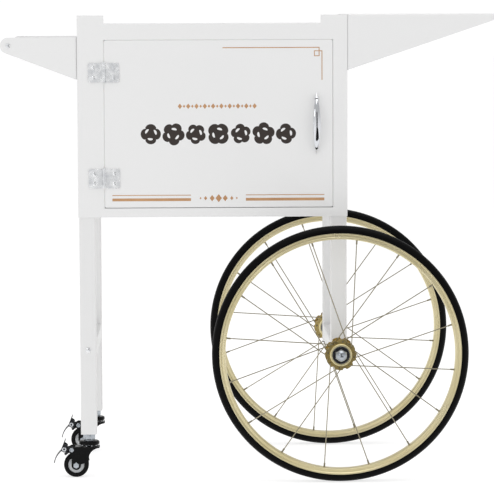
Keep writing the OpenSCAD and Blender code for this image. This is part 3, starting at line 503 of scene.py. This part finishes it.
# ---------------------------------------------------------------- screws and bolts
# Zinc-plated fasteners. Heads are crowned, with a cross or a hexagon socket pressed in; the
# nuts and bolts inside the cabinet keep the frame's plain meshes.

def screw(r, h, shank_r, shank_len, recess="cross", sides=48):
    """Crowned screw head on z = 0 with its shank below. Height over the head is
    h (1 - 0.55 (s / r) ** 2); inside the recess it drops by 0.55 h. The cross is where
    min(|x|, |y|) < 0.14 r and max < 0.55 r, the hexagon where the distance across it < 0.42 r."""
    a = np.linspace(0, 2 * pi, sides, endpoint=False)
    share = np.array([1, 0.97, 0.8, 0.6, 0.57, 0.5, 0.44, 0.42, 0.36, 0.3, 0.24, 0.2, 0.17, 0.13, 0.1, 0.0])
    s = r * share[:, None] + 0 * a
    x, y = s * np.cos(a), s * np.sin(a)
    if recess == "cross":
        inside = (np.minimum(abs(x), abs(y)) < 0.14 * r) & (np.maximum(abs(x), abs(y)) < 0.55 * r)
    else:
        inside = s * np.cos(np.mod(a, pi / 3) - pi / 6) < 0.43 * r
    z = h * (1 - 0.55 * (s / r) ** 2) - 0.55 * h * inside
    skirt = np.array([[shank_r * 0.8, -shank_len], [shank_r, -shank_len + 0.6], [shank_r, 0], [r * 0.96, 0], [r, 0.12 * h]])
    below = np.stack([skirt[:, :1] * np.cos(a), skirt[:, :1] * np.sin(a), skirt[:, 1:] + 0 * a], -1)
    foot = np.stack([0 * a, 0 * a, np.full(sides, -shank_len)], -1)[None]
    return loft(np.concatenate([foot, below, np.stack([x, y, z], -1)]))


def fasten(name, node, body, places, facing, *sizes, slot="zinc_plate", recess="cross"):
    """One piece for all the screws of a CAD node, which it stands for."""
    parts = [seat(screw(*sizes, recess=recess), place, way) for place, way in zip(places, facing)]
    piece(name, joined(*parts), zinc, body, node, sharp=30)


for side, node, body in ((-1, "hinge_frame_screws", "cart"), (1, "hinge_door_screws", "door")):
    spots = [(pin_x + side * 20, pin_y + knuckle_r - leaf_t, z + dz) for z in hinge_places for dz in (-10, 10)]
    fasten(node + "_set", node, body, spots, [(0, -1, 0)] * 4, 3.4, 1.2, 1.75, 1.5)
keep("handle_screws", zinc)
keep("strike_plate", zinc, 0.15)

low, high = mm("crossbar_screws")
bar_x, bar_z = (low[0] + high[0]) / 2, (low[2] + high[2]) / 2
fasten("crossbar_screw_pair", "crossbar_screws", "cart", [(bar_x, y, bar_z) for y in (low[1] + 2.6, high[1] - 2.6)],
       [(0, -1, 0), (0, 1, 0)], 5, 2.6, 3, 37, recess="socket")

low, high = mm("push_bar_screws")
grip_x, grip_z = (low[0] + high[0]) / 2, (low[2] + high[2]) / 2
fasten("push_bar_screw_pair", "push_bar_screws", "cart", [(grip_x, y, grip_z) for y in (low[1] + 2.4, high[1] - 2.4)],
       [(0, -1, 0), (0, 1, 0)], 4.6, 2.4, 3, 14, recess="socket")

low, high = mm("back_panel_screws")
spots = [(x, high[1] - 2, z) for x in (low[0] + 4, high[0] - 4)
         for z in (low[2] + 4, low[2] + 114, low[2] + 224, high[2] - 4)]
fasten("back_screw_set", "back_panel_screws", "cart", spots, [(0, 1, 0)] * 8, 4, 2, 2, 1.5)

# side bolts: a crowned head outside, a plain hexagon nut inside
for node, side, t in (("arm_bolts", -1, 3.0), ("tray_bolts", 1, 2.0)):
    low, high = mm(node)
    face_x = (high[0] if side > 0 else low[0]) - side * 3
    parts = []
    for y in (low[1] + 5, high[1] - 5):
        for z in (low[2] + 5, high[2] - 5):
            parts.append(seat(screw(5, 3, 3, t + 8, recess="socket"), (face_x, y, z), (side, 0, 0)))
            nut = lathe([(3, 0), (5.2, 0), (5.9, 0.5), (5.9, 4.5), (5.2, 5), (3, 5)], 48, flats=10)
            parts.append(seat(nut, (face_x - side * (t + 1.5), y, z), (-side, 0, 0)))
    piece(node + "_set", joined(*parts), zinc, "cart", node, sharp=30)
keep("leg_bolts", zinc, 0.3)

# ---------------------------------------------------------------- legs and crossbars
# Square steel tube, 32 mm with a 1.5 mm wall and 3 mm corners, in the cabinet's white coat.
# Black plastic plugs close the feet; the right-hand ones show as a thin edge.

# the tubes take a copy of the white coat a shade greyer than the sheets: painted shade
tube_coat_painted_shade = material("white_powder_coat_tube", "#E2E2E2", {"IOR": 1.5}, 1.5, 0.008, (0.36, 0.44))
# injection-moulded black polypropylene with a spark-eroded grain
black_plastic = material("black_plastic", "#141414", {"IOR": 1.49, "Specular IOR Level": 0.35}, 0.35, 0.006, (0.45, 0.6))
for node in ("leg_front_left", "leg_back_left", "leg_front_right", "leg_back_right", "crossbar_left",
             "crossbar_right"):
    keep(node, tube_coat_painted_shade, 0.25)
keep("leg_plugs", black_plastic, 0.3)
keep("magnetic_catch", black_plastic, 0.5)

# ---------------------------------------------------------------- push bar and its arms
# Arms cut from 3 mm plate with a flange folded inwards at the root and a round tip; between
# them a 22 mm tube with its ends turned in, all white.

wall_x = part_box("side_panel_left")[0][0] * 1000


def tangent(centre, r, point, side):
    """Where the line from point touches the circle: the radius there leans by acos(r / distance)."""
    away = np.subtract(point, centre)
    far = np.linalg.norm(away)
    turn = np.arctan2(away[1], away[0]) + side * np.arccos(r / far)
    return np.add(centre, (r * np.cos(turn), r * np.sin(turn)))


for sy, name in ((-1, "push_bar_arm_front"), (1, "push_bar_arm_back")):
    low, high = mm(name)
    outer = low[1] if sy < 0 else high[1]
    top, root_z, tip_r = high[2], low[2], 16.0
    tip = np.array([low[0] + tip_r, top - tip_r])
    touch = tangent(tip, tip_r, (wall_x, root_z), -1)
    a0, a1 = np.arctan2(*(touch - tip)[::-1]), -1.5 * pi
    arc = np.linspace(a0 if a0 < 0 else a0 - 2 * pi, a1, 28)
    fold_r = 4.0
    edge = np.concatenate([[(wall_x - fold_r, root_z + 0.8)], tip + tip_r * np.stack([np.cos(arc), np.sin(arc)], -1),
                           [(wall_x - fold_r, top)]])
    face = sheet(standing(edge, outer, outer - sy * 3), standing(circle(*tip, 3.1), outer, outer - sy * 3))
    # the fold and the flange: the plate's edge carried round a quarter circle, then inwards
    a = np.linspace(0, pi / 2, 8)
    outside = np.stack([wall_x - fold_r + fold_r * np.sin(a), outer - sy * fold_r * (1 - np.cos(a))], -1)
    inside = np.stack([wall_x - fold_r + (fold_r - 3) * np.sin(a), outer - sy * (fold_r - (fold_r - 3) * np.cos(a))], -1)
    loop = np.concatenate([outside, [(wall_x, outer - sy * 25), (wall_x - 3, outer - sy * 25)], inside[::-1]])
    rings = np.stack([np.stack([loop[:, 0], loop[:, 1], np.full(len(loop), z)], -1) for z in (root_z + 0.8, top)])
    piece(name + "_plate", joined(face, sheet(rings)), white_coat, "cart", name, break_mm=0.35)

low, high = mm("push_bar")
centre, half, r = (low + high) / 2, (high[1] - low[1]) / 2, (high[2] - low[2]) / 2
profile = [(3.1, half - 3), (3.1, half - 0.6), (r - 2.2, half - 0.6), (r - 1.6, half), (r - 0.8, half), (r, half - 0.9),
           (r, 0.9 - half), (r - 0.8, -half), (r - 1.6, -half), (r - 2.2, 0.6 - half), (3.1, 0.6 - half), (3.1, 3 - half)]
piece("push_bar_tube", seat(lathe(profile, 64, turn=True), centre, (0, 1, 0)), white_coat, "cart",
      "push_bar", sharp=50)

# ---------------------------------------------------------------- side tray
# One sheet of 2 mm steel: the top's outer edge rolls under, gussets fold down in front and
# behind with a 3 mm radius, and each ends in a flange against the cabinet.

low, high = mm("side_tray")
wall_right, tray_y, top, root_z, tip_r, t = low[0], high[1], high[2], low[2], 6.5, 2.0
tip = np.array([high[0] - tip_r, top - tip_r])
touch = tangent(tip, tip_r, (wall_right, root_z), 1)
fold_r = 3.0
# stations along x: the gusset's lower edge rises from the root to the rolled edge
x = np.concatenate([[wall_right + fold_r], np.linspace(wall_right + 30, touch[0], 14)])
depth = top - (root_z + (touch[1] - root_z) * (x - wall_right) / (touch[0] - wall_right))
a = np.linspace(0, pi / 2, 6)
corner = np.stack([tray_y - fold_r + fold_r * np.sin(a), -fold_r + fold_r * np.cos(a)], -1)
inner = np.stack([tray_y - fold_r + (fold_r - t) * np.sin(a), -fold_r + (fold_r - t) * np.cos(a)], -1)
half_line = np.concatenate([[(0, 0)], corner, [(tray_y, -1)], [(tray_y - t, -1)], inner[::-1], [(0, -t)]])
drop = np.zeros(len(half_line), bool)
drop[7:9] = True
rings = []
for station, deep in zip(x, depth):
    right = half_line.copy()
    right[drop, 1] = -max(deep, fold_r + 0.2)
    loop = np.concatenate([right, (right * [-1, 1])[::-1][1:-1]])
    rings.append(np.stack([np.full(len(loop), station), loop[:, 0], top + loop[:, 1]], -1))
body_skin = loft(np.stack(rings), caps=True)
# rolled outer edge: the top carried on round the nose, with the gussets' rounded ends inside it
a = np.linspace(pi / 2, np.arctan2(*(touch - tip)[::-1]), 14)
roll = np.concatenate([[(touch[0] - 1, top)], tip + tip_r * np.stack([np.cos(a), np.sin(a)], -1),
                       tip + (tip_r - t) * np.stack([np.cos(a), np.sin(a)], -1)[::-1], [(touch[0] - 1, top - t)]])
parts = [body_skin, sheet(standing(roll, 1.2 - tray_y, tray_y - 1.2))]
ear = np.concatenate([[(touch[0] - 1, top - 0.4)], tip + (tip_r - 0.3) * np.stack([np.cos(a), np.sin(a)], -1),
                      [touch + [-1, 0.1]]])
for sy in (-1, 1):
    parts.append(sheet(standing(ear, sy * tray_y, sy * (tray_y - t))))
    b = np.linspace(0, pi / 2, 7)
    bend = np.stack([wall_right + fold_r - fold_r * np.cos(b), sy * (tray_y - fold_r + fold_r * np.sin(b))], -1)
    flange = [(wall_right, sy * (tray_y - 22)), *bend, (wall_right + fold_r, sy * (tray_y - t)),
              (wall_right + t, sy * (tray_y - fold_r)), (wall_right + t, sy * (tray_y - 22))]
    parts.append(sheet(np.stack([[(fx, fy, z) for fx, fy in flange] for z in (root_z, top - 0.6)])))
piece("side_tray_sheet", joined(*parts), white_coat, "cart", "side_tray", break_mm=0.3)

# ---------------------------------------------------------------- axle
# Steel axle, bright zinc, with turned spacers, washers and nickel-plated cap nuts with a large dome.

keep("axle", zinc, 0.4)
low, high = mm("axle")
axle_x, axle_z, axle_r = (low[0] + high[0]) / 2, (low[2] + high[2]) / 2, (high[2] - low[2]) / 2
low, high = mm("axle_spacers")
space_in, space_out = mm("leg_front_right")[0][1], low[1]
ends = [(axle_r, 0), (10.4, 0), (11, 0.6), (11, abs(space_out - space_in) - 0.6), (10.4, abs(space_out - space_in)),
        (axle_r, abs(space_out - space_in))]
parts = [seat(lathe(ends, 48, turn=True), (axle_x, sy * -space_in, axle_z), (0, sy, 0)) for sy in (-1, 1)]
piece("axle_spacer_pair", joined(*parts), zinc, "cart", "axle_spacers", sharp=30)

low, high = mm("axle_washers")
washer = lathe([(axle_r, 0), (13.6, 0), (14, 0.4), (14, 1.3), (13.6, 1.7), (axle_r, 1.7)], 48, turn=True)
parts = [seat(washer, (axle_x, sy * (high[1] - 1.7), axle_z), (0, sy, 0)) for sy in (-1, 1)]
# black oxide on steel, oiled
oxide = material("black_oxide", "#26262A", {"Metallic": 0.7}, 0.6, 0.002, (0.3, 0.42), patch=12)
piece("axle_washer_pair", joined(*parts), oxide, "cart", "axle_washers", sharp=30)

# the cap nuts are nickel plated, darker and softer than chrome
nickel = material("nickel_plate", "#AEB3B9", {"Metallic": 1.0}, 0.5, 0.001, (0.14, 0.24), patch=10, tint="#9CA2A8")
nut_seat = high[1]
h = np.linspace(5.6, 15, 14)
dome = np.stack([np.sqrt(np.maximum(144 - (h - 3) ** 2, 0)), h], -1)
nut = lathe(np.concatenate([[(axle_r, 0.5), (10.2, 0), (10.9, 0), (12.7, 1.1), (12.7, 4.4), (12.2, 5.0), (11.72, 5.1)], dome]), 96, flats=22)
parts = [seat(nut, (axle_x, sy * nut_seat, axle_z), (0, sy, 0)) for sy in (-1, 1)]
piece("cap_nut_pair", joined(*parts), nickel, "cart", "axle_dome_nuts", sharp=25)

# ---------------------------------------------------------------- wheels
# Two 508 mm wheels with solid rubber tyres, pale gold anodised aluminium rims and hubs, and
# sixteen crossed brass-plated spokes each, with elbows, heads and nipples.

# anodised aluminium, pale champagne gold, brushed lightly round before anodising
gold = material("gold_anodised", "#DDD3AE", {"Metallic": 1.0}, 2.0, 0.002, (0.26, 0.36), patch=90, tint="#D5CAA0")
# hub flanges of the same metal, blasted; their deeper, darker gold is painted shade
gold_hub_painted_shade = material("gold_anodised_hub_painted_shade", "#C2AF78", {"Metallic": 1.0}, 0.5, 0.004, (0.24, 0.36), patch=15, tint="#BDA768")
# the collars of the hub are turned bright; the hub shell's gold, paler than its stamped flanges, is painted highlight
gold_collar_painted_highlight = material("gold_anodised_turned_painted_highlight", "#EFE3B4", {"Metallic": 1.0}, 0.5, 0.001, (0.3, 0.4), patch=15)
brass_wire = material("brass_spoke", "#8D8672", {"Metallic": 1.0}, 0.5, 0.001, (0.22, 0.34), patch=30)
# black rubber, slightly polished at the walls
rubber = material("rubber_tyre", "#040404", {"IOR": 1.52, "Specular IOR Level": 0.07}, 0.7, 0.012, (0.36, 0.5), patch=40)
# ground steel rings of the bearings
race_steel = material("bearing_steel", "#8E8F91", {"Metallic": 1.0}, 0.4, 0.001, (0.18, 0.28), patch=10)
seal_rubber = material("bearing_seal", "#1A1B1D", {"IOR": 1.5, "Specular IOR Level": 0.3}, 0.4, 0.004, (0.5, 0.6))

SPOKES, FIRST, LEAN = 16, 8.2, 45.0
number = np.arange(SPOKES)
rim_turn = np.radians(FIRST + number * 360 / SPOKES)
lean = np.where((number % 4 == 0) | (number % 4 == 3), 1, -1)
flange_side = np.where(number % 2 == 0, -1, 1)
hub_turn = rim_turn + np.radians(LEAN) * lean


def wheel_point(r, turn, y):
    """Point of the wheel's plane, clockwise from +X as seen from the front: (r cos a, y, -r sin a)."""
    return np.stack(np.broadcast_arrays(r * np.cos(turn), y, -r * np.sin(turn)), -1)


def tube(path, radii, sides=8):
    """Round bar along a path of points in one plane, with the radius given at each point."""
    path, radii = np.asarray(path, float), np.asarray(radii, float)
    way = np.gradient(path, axis=0)
    way /= np.linalg.norm(way, axis=1)[:, None]
    across = np.cross(way[0], way[-1]) if np.linalg.norm(np.cross(way[0], way[-1])) > 1e-3 else np.cross(way[0], (0, 1, 0.01))
    across = across / np.linalg.norm(across)
    up = np.cross(way, across)
    a = np.linspace(0, 2 * pi, sides, endpoint=False)
    rings = path[:, None] + radii[:, None, None] * (np.cos(a)[None, :, None] * across + np.sin(a)[None, :, None] * up[:, None])
    return loft(rings, caps=True)


for sy, end in ((-1, "front"), (1, "back")):
    low, high = mm("rim_" + end)
    hub = np.array([(low[0] + high[0]) / 2, (low[1] + high[1]) / 2, (low[2] + high[2]) / 2])
    body = end + "_wheel"

    # rim: rolled beads, concave shoulders and a flat well, as one closed section (radius, width)
    half = np.array([(227.0, 0), (227.0, 5.5), (227.3, 8.2), (228.3, 10.2), (229.6, 11.3), (230.8, 11.4), (231.8, 10.7),
                     (232.8, 9.9), (234.0, 9.7), (235.1, 10.3), (236.0, 11.4), (237.0, 12.5), (238.3, 13.0), (239.5, 12.6),
                     (240.0, 11.6), (239.6, 10.7), (238.5, 10.5), (237.4, 10.6), (236.6, 9.8), (235.4, 8.7), (234.0, 8.3),
                     (232.4, 8.5), (231.2, 9.5), (230.2, 9.9), (229.3, 9.2), (228.7, 7.6), (228.5, 5.0), (228.5, 0)])
    section = np.concatenate([half, (half * [1, -1])[::-1][1:-1]])
    parts = [seat(lathe(section, 240, turn=True), hub, (0, 1, 0))]
    # eyelets pressed into the well where the nipples come through
    for turn, side in zip(rim_turn, flange_side):
        spot = wheel_point(227.6, turn, side * 3.0)
        ring = lathe([(2.3, -0.4), (2.5, 0.5), (3.2, 0.7), (3.8, 0.3), (4.0, -0.4)], 16)
        parts.append(seat(ring, hub + spot, -spot * [1, 0, 1]))
    piece("rim_skin_" + end, joined(*parts), gold, body, "rim_" + end, sharp=50)

    # tyre: solid rubber, a round crown with a moulding seam and two fine grooves on each wall
    a = np.radians(np.linspace(-96, 96, 65))
    crown = 13.0 - 0.25 * (np.abs(np.abs(np.degrees(a)) - 62) < 1.6) - 0.25 * (np.abs(np.abs(np.degrees(a)) - 76) < 1.6)
    crown = np.where(np.abs(a) < 0.02, 13.0, crown - 0.12 * (np.abs(np.degrees(a)) < 60))
    skin = np.stack([241 + crown * np.cos(a), crown * np.sin(a)], -1)
    foot = np.array([(238.8, 10.2), (237.0, 9.5), (234.5, 7.8), (229.2, 7.2)])
    section = np.concatenate([(foot * [1, -1])[::-1], skin, foot])
    piece("tyre_skin_" + end, seat(lathe(section, 256, turn=True), hub, (0, 1, 0)), rubber, body,
          "tyre_" + end, sharp=40)

    # spokes: straight wire, a bend into the flange, a flat head outside it and a nipple at the rim
    wires, nipples = [], []
    bend = 2.4
    for k in range(SPOKES):
        away = -flange_side[k] * lean[k]
        hub_point = wheel_point(26.0, hub_turn[k], flange_side[k] * (18 + lean[k] * 3.2))
        rim_point = wheel_point(227.0, rim_turn[k], flange_side[k] * 3.0)
        along = (rim_point - hub_point) / np.linalg.norm(rim_point - hub_point)
        through = np.array([0.0, away, 0.0])
        t = np.linspace(0, 1, 7)[:, None]
        elbow = (1 - t) ** 2 * (hub_point + bend * along) + 2 * t * (1 - t) * hub_point + t ** 2 * (hub_point + bend * through)
        far = flange_side[k] * 18 + away * 1.5
        stem = np.array([(hub_point[0], far, hub_point[2]), (hub_point[0], far + away * 0.5, hub_point[2])])
        path = np.concatenate([[rim_point - 4 * along, rim_point - 15 * along, hub_point + 40 * along], elbow, stem])
        wires.append(tube(path + hub, [1.0] * len(path)))
        head = lathe([(0, -0.3), (1.0, -0.3), (2.0, 0.0), (2.0, 0.7), (1.5, 1.4), (0, 1.6)], 12)
        wires.append(seat(head, hub + stem[0], through))
        cap = lathe([(0, -3.4), (1.9, -3.4), (2.2, -2.8), (2.2, 0.2), (1.75, 1.2), (1.75, 7.2), (1.4, 8.0), (0, 8.0)], 12)
        nipples.append(seat(cap, hub + rim_point, -along))
    piece("spoke_set_" + end, joined(*wires, *nipples), brass_wire, body, "spokes_" + end, sharp=40)

    # hub shell: waisted barrel and two collars that seat the bearings
    shell = [(8.5, 0), (8.5, 14), (17.5, 14), (17.5, 24.6), (18.0, 25), (20.8, 25), (21.6, 24.2), (21.6, 21.3), (21.1, 20.9),
             (21.1, 14.5), (20, 12.6), (15.5, 11.2), (13, 8.5), (12.6, 0)]
    shell = np.concatenate([shell, (np.array(shell) * [1, -1])[::-1][1:-1]])
    piece("hub_shell_" + end, seat(lathe(shell, 96, turn=True), hub, (0, 1, 0)), gold_collar_painted_highlight, body,
          "hub_" + end, break_mm=0.25)
    # flanges pressed on the shell: 3 mm plates with eight spoke holes and eight lightening notches
    parts = []
    a = np.linspace(0, 2 * pi, 256, endpoint=False)
    for side in (-1, 1):
        own = hub_turn[flange_side == side]
        bite = np.zeros_like(a)
        order = np.sort(np.mod(own, 2 * pi))
        middles = (order + np.roll(order, -1) + 2 * pi * (np.roll(order, -1) < order)) / 2
        for turn in middles:
            off = np.angle(np.exp(1j * (a - turn)))
            bite = np.maximum(bite, 3.2 * np.sqrt(np.maximum(1 - (off / 0.125) ** 2, 0)))
        rim_line = wheel_point(30.5 - bite, a, 0)
        levels = [side * 18 - 1.5, side * 18 + 1.5]
        edges = [[hub + rim_line + [0, y, 0] for y in levels]]
        for turn in own:
            hole = wheel_point(26.0, turn, 0) + wheel_point(1.3, np.linspace(0, 2 * pi, 10, endpoint=False), 0)
            edges.append([hub + hole + [0, y, 0] for y in levels])
        bore = wheel_point(20.5, np.linspace(0, 2 * pi, 64, endpoint=False), 0)
        edges.append([hub + bore + [0, y, 0] for y in levels])
        parts.append(sheet(*edges))
    piece("hub_flanges_" + end, joined(*parts), gold_hub_painted_shade, body, break_mm=0.25)

    # bearings: two ground rings with a moulded seal set back between them
    outer_ring = lathe([(15.2, -10.6), (17.1, -11), (17.5, -10.6), (17.5, -0.4), (17.1, 0), (15.4, 0), (15.2, -0.3)], 64, turn=True)
    inner_ring = lathe([(axle_r + 0.05, -11), (10.6, -11), (10.9, -0.3), (10.6, 0), (7.9, 0), (axle_r + 0.05, -0.4)], 64, turn=True)
    seals = lathe([(10.7, -1.3), (10.7, -0.6), (12.2, -0.5), (12.6, -0.8), (13.6, -0.8), (14.0, -0.5), (15.3, -0.5), (15.3, -1.3)], 64, turn=True)
    rings, discs = [], []
    for side in (-1, 1):
        rings += [seat(part, hub + [0, side * 25, 0], (0, side, 0)) for part in (outer_ring, inner_ring)]
        discs.append(seat(seals, hub + [0, side * 25, 0], (0, side, 0)))
    piece("bearing_rings_" + end, joined(*rings), race_steel, body, "bearings_" + end, sharp=30)
    piece("bearing_seals_" + end, joined(*discs), seal_rubber, body)

# ---------------------------------------------------------------- casters
# Two braked swivel casters with 50 mm wheels: a threaded stem with a locknut, a fixed head over
# a ring of balls, a pressed black fork, a riveted brake pedal, and a grey wheel with a black tyre.

# pressed steel with a glossy black electrophoretic coat
black_steel = material("black_steel", "#040405", {"IOR": 1.5, "Specular IOR Level": 0.12}, 1.0, 0.004, (0.2, 0.34), patch=20)
# spring steel of the pedal, blackened, with patches worn to grey
pedal_steel = material("pedal_steel", "#202124", {"Metallic": 0.85}, 0.8, 0.004, (0.3, 0.42), patch=14, tint="#2E3033")
# glossy black polyurethane tread, and the pale grey nylon wheel inside it
black_tread = material("black_polyurethane", "#040404", {"IOR": 1.5, "Specular IOR Level": 0.12}, 0.8, 0.006, (0.22, 0.34), patch=20)
grey_nylon = material("grey_nylon", "#D6D8DA", {"IOR": 1.53}, 0.5, 0.003, (0.32, 0.45), patch=20)


def arc(centre, r, start, stop, steps=16):
    """Points of a circle's arc between two angles in degrees."""
    a = np.radians(np.linspace(start, stop, steps))
    return np.stack([centre[0] + r * np.cos(a), centre[1] + r * np.sin(a)], -1)


low, high = mm("caster_stems")
stem_x, stem_top = (low[0] + high[0]) / 2, high[2]
places = {"front": np.array([stem_x, (mm("caster_front_tyre")[0][1] + mm("caster_front_tyre")[1][1]) / 2, 0]),
          "back": np.array([stem_x, (mm("caster_back_tyre")[0][1] + mm("caster_back_tyre")[1][1]) / 2, 0])}
WHEEL, PIVOT, RIVET = np.array((-26.0, 25.0)), np.array((-35.0, 56.0)), np.array((-50.0, 57.0))

# stems: M10, riveted over under the fork, with a washer and a chamfered locknut under the leg
thread = 5.0 - 0.32 * (np.arange(30) % 2)
levels = np.linspace(87.5, stem_top - 1, 30)
stem = lathe(np.concatenate([[(0, 54.7), (6.2, 54.7), (7.6, 55.3), (8, 56.4), (8, 58.7), (5, 58.7), (5, 87)],
                             np.stack([thread, levels], -1), [(4.4, stem_top), (0, stem_top)]]), 40)
washer = lathe([(5.1, 73.5), (10.6, 73.5), (11, 73.9), (11, 75.1), (10.6, 75.5), (5.1, 75.5)], 48, turn=True)
locknut = lathe([(5.1, 75.6), (10.2, 75.6), (12.0, 76.5), (12.0, 85.9), (10.2, 86.9), (5.1, 86.9)], 72, flats=20.784, turn=True)
parts = [seat(part, place, (0, 0, 1)) for place in places.values() for part in (stem, washer, locknut)]
piece("caster_stem_pair", joined(*parts), nickel, "cart", "caster_stems", sharp=30)

# heads: a pressed cap with a soft shoulder, turned in at its lower edge to hold the balls
cap = lathe([(5.1, 72), (5.1, 73.5), (16.5, 73.5), (18.6, 73.2), (20.0, 72.2), (20.5, 70.6), (20.5, 66.6), (20.1, 66.1),
             (19.4, 66.1), (19.2, 67.2), (17.5, 68.0), (15.4, 68.0), (13.4, 66.6), (12.0, 66.2), (5.1, 66.2)], 72, turn=True)
piece("caster_head_pair", joined(*[seat(cap, place, (0, 0, 1)) for place in places.values()]), black_steel, "cart",
      "caster_heads", sharp=40)

# balls of the swivel: bearing steel, ten in each ring
keep("caster_balls", chrome)

swoop = np.array((21.5, 37.0))
for sy, end in ((-1, "front"), (1, "back")):
    place = places[end]
    fork, wheel, pedal = end + "_caster", end + "_caster_wheel", end + "_caster_pedal"

    # fork: cheeks that swoop back from the head to the axle, a web between them, a raised race
    cheek = np.concatenate([
        arc(WHEEL, 9.5, 180, 372, 30), arc(swoop, 22.6, 196, 91, 26), [(20.5, 59.8), (20.5, 62)],
        arc(PIVOT, 6.5, 68, 196, 18), [(-35.2, 42.5)]])
    parts = []
    for side in (-1, 1):
        levels = (place[1] + side * 13, place[1] + side * 15)
        move = place[[0, 2]]
        parts.append(sheet(standing(cheek + move, *levels), standing(circle(*(WHEEL + move), 3), *levels),
                           standing(circle(*(PIVOT + move), 2.5), *levels)))
    web = round_corners([(-28, -13.1), (16.5, -13.1), (16.5, 13.1), (-28, 13.1)], 1.5)
    ring = circle(0, 0, 5.1, 32)
    parts.append(sheet(*[np.stack([np.stack([edge[:, 0] + place[0], edge[:, 1] + place[1], np.full(len(edge), z)], -1)
                                   for z in (60, 62)]) for edge in (web, ring)]))
    race = lathe([(5.1, 59), (19.5, 59), (21, 59.4), (21.3, 60.2), (21.3, 61.2), (20.4, 62), (19.2, 62), (18.6, 61.6), (14.6, 61.6),
                  (14, 62), (5.1, 62)], 72, turn=True)
    parts.append(seat(race, place, (0, 0, 1)))
    piece("fork_" + end, joined(*parts), black_steel, fork, f"caster_{end}_fork", break_mm=0.3)

    # pins: a hexagon bolt and nut for the wheel, a hollow rivet for the pedal
    hexagon = lathe([(0, 0), (5.4, 0), (6.2, 0.3), (6.2, 3.2), (5.2, 3.9), (4.4, 4.0), (0, 4.0)], 72, flats=10.739)
    hollow = lathe([(0, 0.2), (4.6, 0), (4.8, 0.5), (4.3, 1.6), (3.5, 2.0), (2.8, 1.9), (2.3, 1.4), (2.1, -3), (0, -3)], 40)
    axle_pin = lathe([(0, -15), (3, -15), (3, 15), (0, 15)], 24)
    spot, pivot = place + [WHEEL[0], 0, WHEEL[1]], place + [PIVOT[0], 0, PIVOT[1]]
    rivet_pin = lathe([(0, -15), (2.5, -15), (2.5, 15), (0, 15)], 24)
    parts = [seat(axle_pin, spot, (0, 1, 0)), seat(rivet_pin, pivot, (0, 1, 0))]
    for side in (-1, 1):
        parts += [seat(hexagon, spot + [0, side * 15, 0], (0, side, 0)), seat(hollow, pivot + [0, side * 15, 0], (0, side, 0))]
    piece("pins_" + end, joined(*parts), nickel, fork, f"caster_{end}_pins", sharp=30)

    # pedal: two lugs on the rivet, a plate for the foot that curls into a tongue, and a brake shoe
    knee, head_end = np.array((-57.2, 53.8)), np.array((-48.5, 76.0))
    lug = np.concatenate([arc(PIVOT, 5.6, 90, -100, 22), round_corners([(-49, 49.5), (-56.6, 54.0), (-50.6, 69.2), (-42, 64)],
                                                                     [3, 1.5, 1.5, 5])])
    parts = []
    for side in (-1, 1):
        levels = (place[1] + side * 9.5, place[1] + side * 11.5)
        parts.append(sheet(standing(lug + place[[0, 2]], *levels),
                           standing(circle(*(PIVOT + place[[0, 2]]), 2.6), *levels)))
    middle = np.array((-30.0, 22.5))
    r = np.linalg.norm(knee - middle)
    way = (head_end - knee) / np.linalg.norm(head_end - knee)
    line = np.concatenate([[head_end, head_end - 2 * way], [knee + 3 * way], arc(middle, r, 130, 171, 20)])
    towards = np.gradient(line, axis=0)
    towards /= np.linalg.norm(towards, axis=1)[:, None]
    inner = line + 1.6 * np.stack([-towards[:, 1], towards[:, 0]], -1)
    # the plate's width: rounded at the foot end, full at the knee, a narrower tongue below
    width = np.interp(np.arange(len(line)), [0, 1, 2, 6, 20, 22], [9.6, 11.5, 11.5, 11.5, 9.5, 6])
    section = [np.stack([place[0] + edge[:, 0], place[1] + s * width, edge[:, 1]], -1)
               for s, edge in ((-1, line), (1, line), (1, inner), (-1, inner))]
    parts.append(loft(np.stack(section, 1), caps=True))
    shoe = np.concatenate([arc(WHEEL, 28.5, 117, 137, 10), arc(WHEEL, 33, 137, 117, 10)]) + place[[0, 2]]
    parts.append(sheet(standing(shoe, place[1] - 11.5, place[1] + 11.5)))
    barrel = lathe([(0, -8), (2.0, -8), (2.2, -12.1), (2.9, -12.5), (4.2, -12.1), (4.4, -11.5), (4.4, 11.5), (4.2, 12.1),
                    (2.9, 12.5), (2.2, 12.1), (2.0, 8), (0, 8)], 36)
    piece("pedal_" + end, joined(*parts), pedal_steel, pedal, f"caster_{end}_pedal", break_mm=0.25)
    piece("pedal_rivet_" + end, seat(barrel, place + [RIVET[0], 0, RIVET[1]], (0, 1, 0)), chrome, pedal, sharp=30)

    # wheel: dished nylon disc with a raised ring and a hub boss
    disc = np.array([(3.05, 12.5), (6.4, 12.5), (7, 12.0), (7.1, 7.6), (8.6, 6.6), (9.4, 5.0), (10.2, 4.8), (14.2, 4.8), (14.8, 5.2),
                     (15.0, 6.8), (16, 7), (16, 0)])
    half = np.concatenate([[(3.05, 0)], disc])
    disc = np.concatenate([half, (half * [1, -1])[::-1][1:-1]])
    piece("caster_wheel_" + end, seat(lathe(disc, 72, turn=True), spot, (0, 1, 0)), grey_nylon, wheel,
          f"caster_{end}_core", sharp=40)
    tread = np.concatenate([[(16, 0), (16, 8.4), (16.6, 9)], np.stack([21 + 4 * np.sin(np.linspace(0, pi / 2, 8)),
                            5 + 4 * np.cos(np.linspace(0, pi / 2, 8))], -1), [(25, 0)]])
    tread = np.concatenate([tread, (tread * [1, -1])[::-1][1:-1]])
    piece("caster_tread_" + end, seat(lathe(tread, 72, turn=True), spot, (0, 1, 0)), black_tread, wheel,
          f"caster_{end}_tyre", sharp=40)
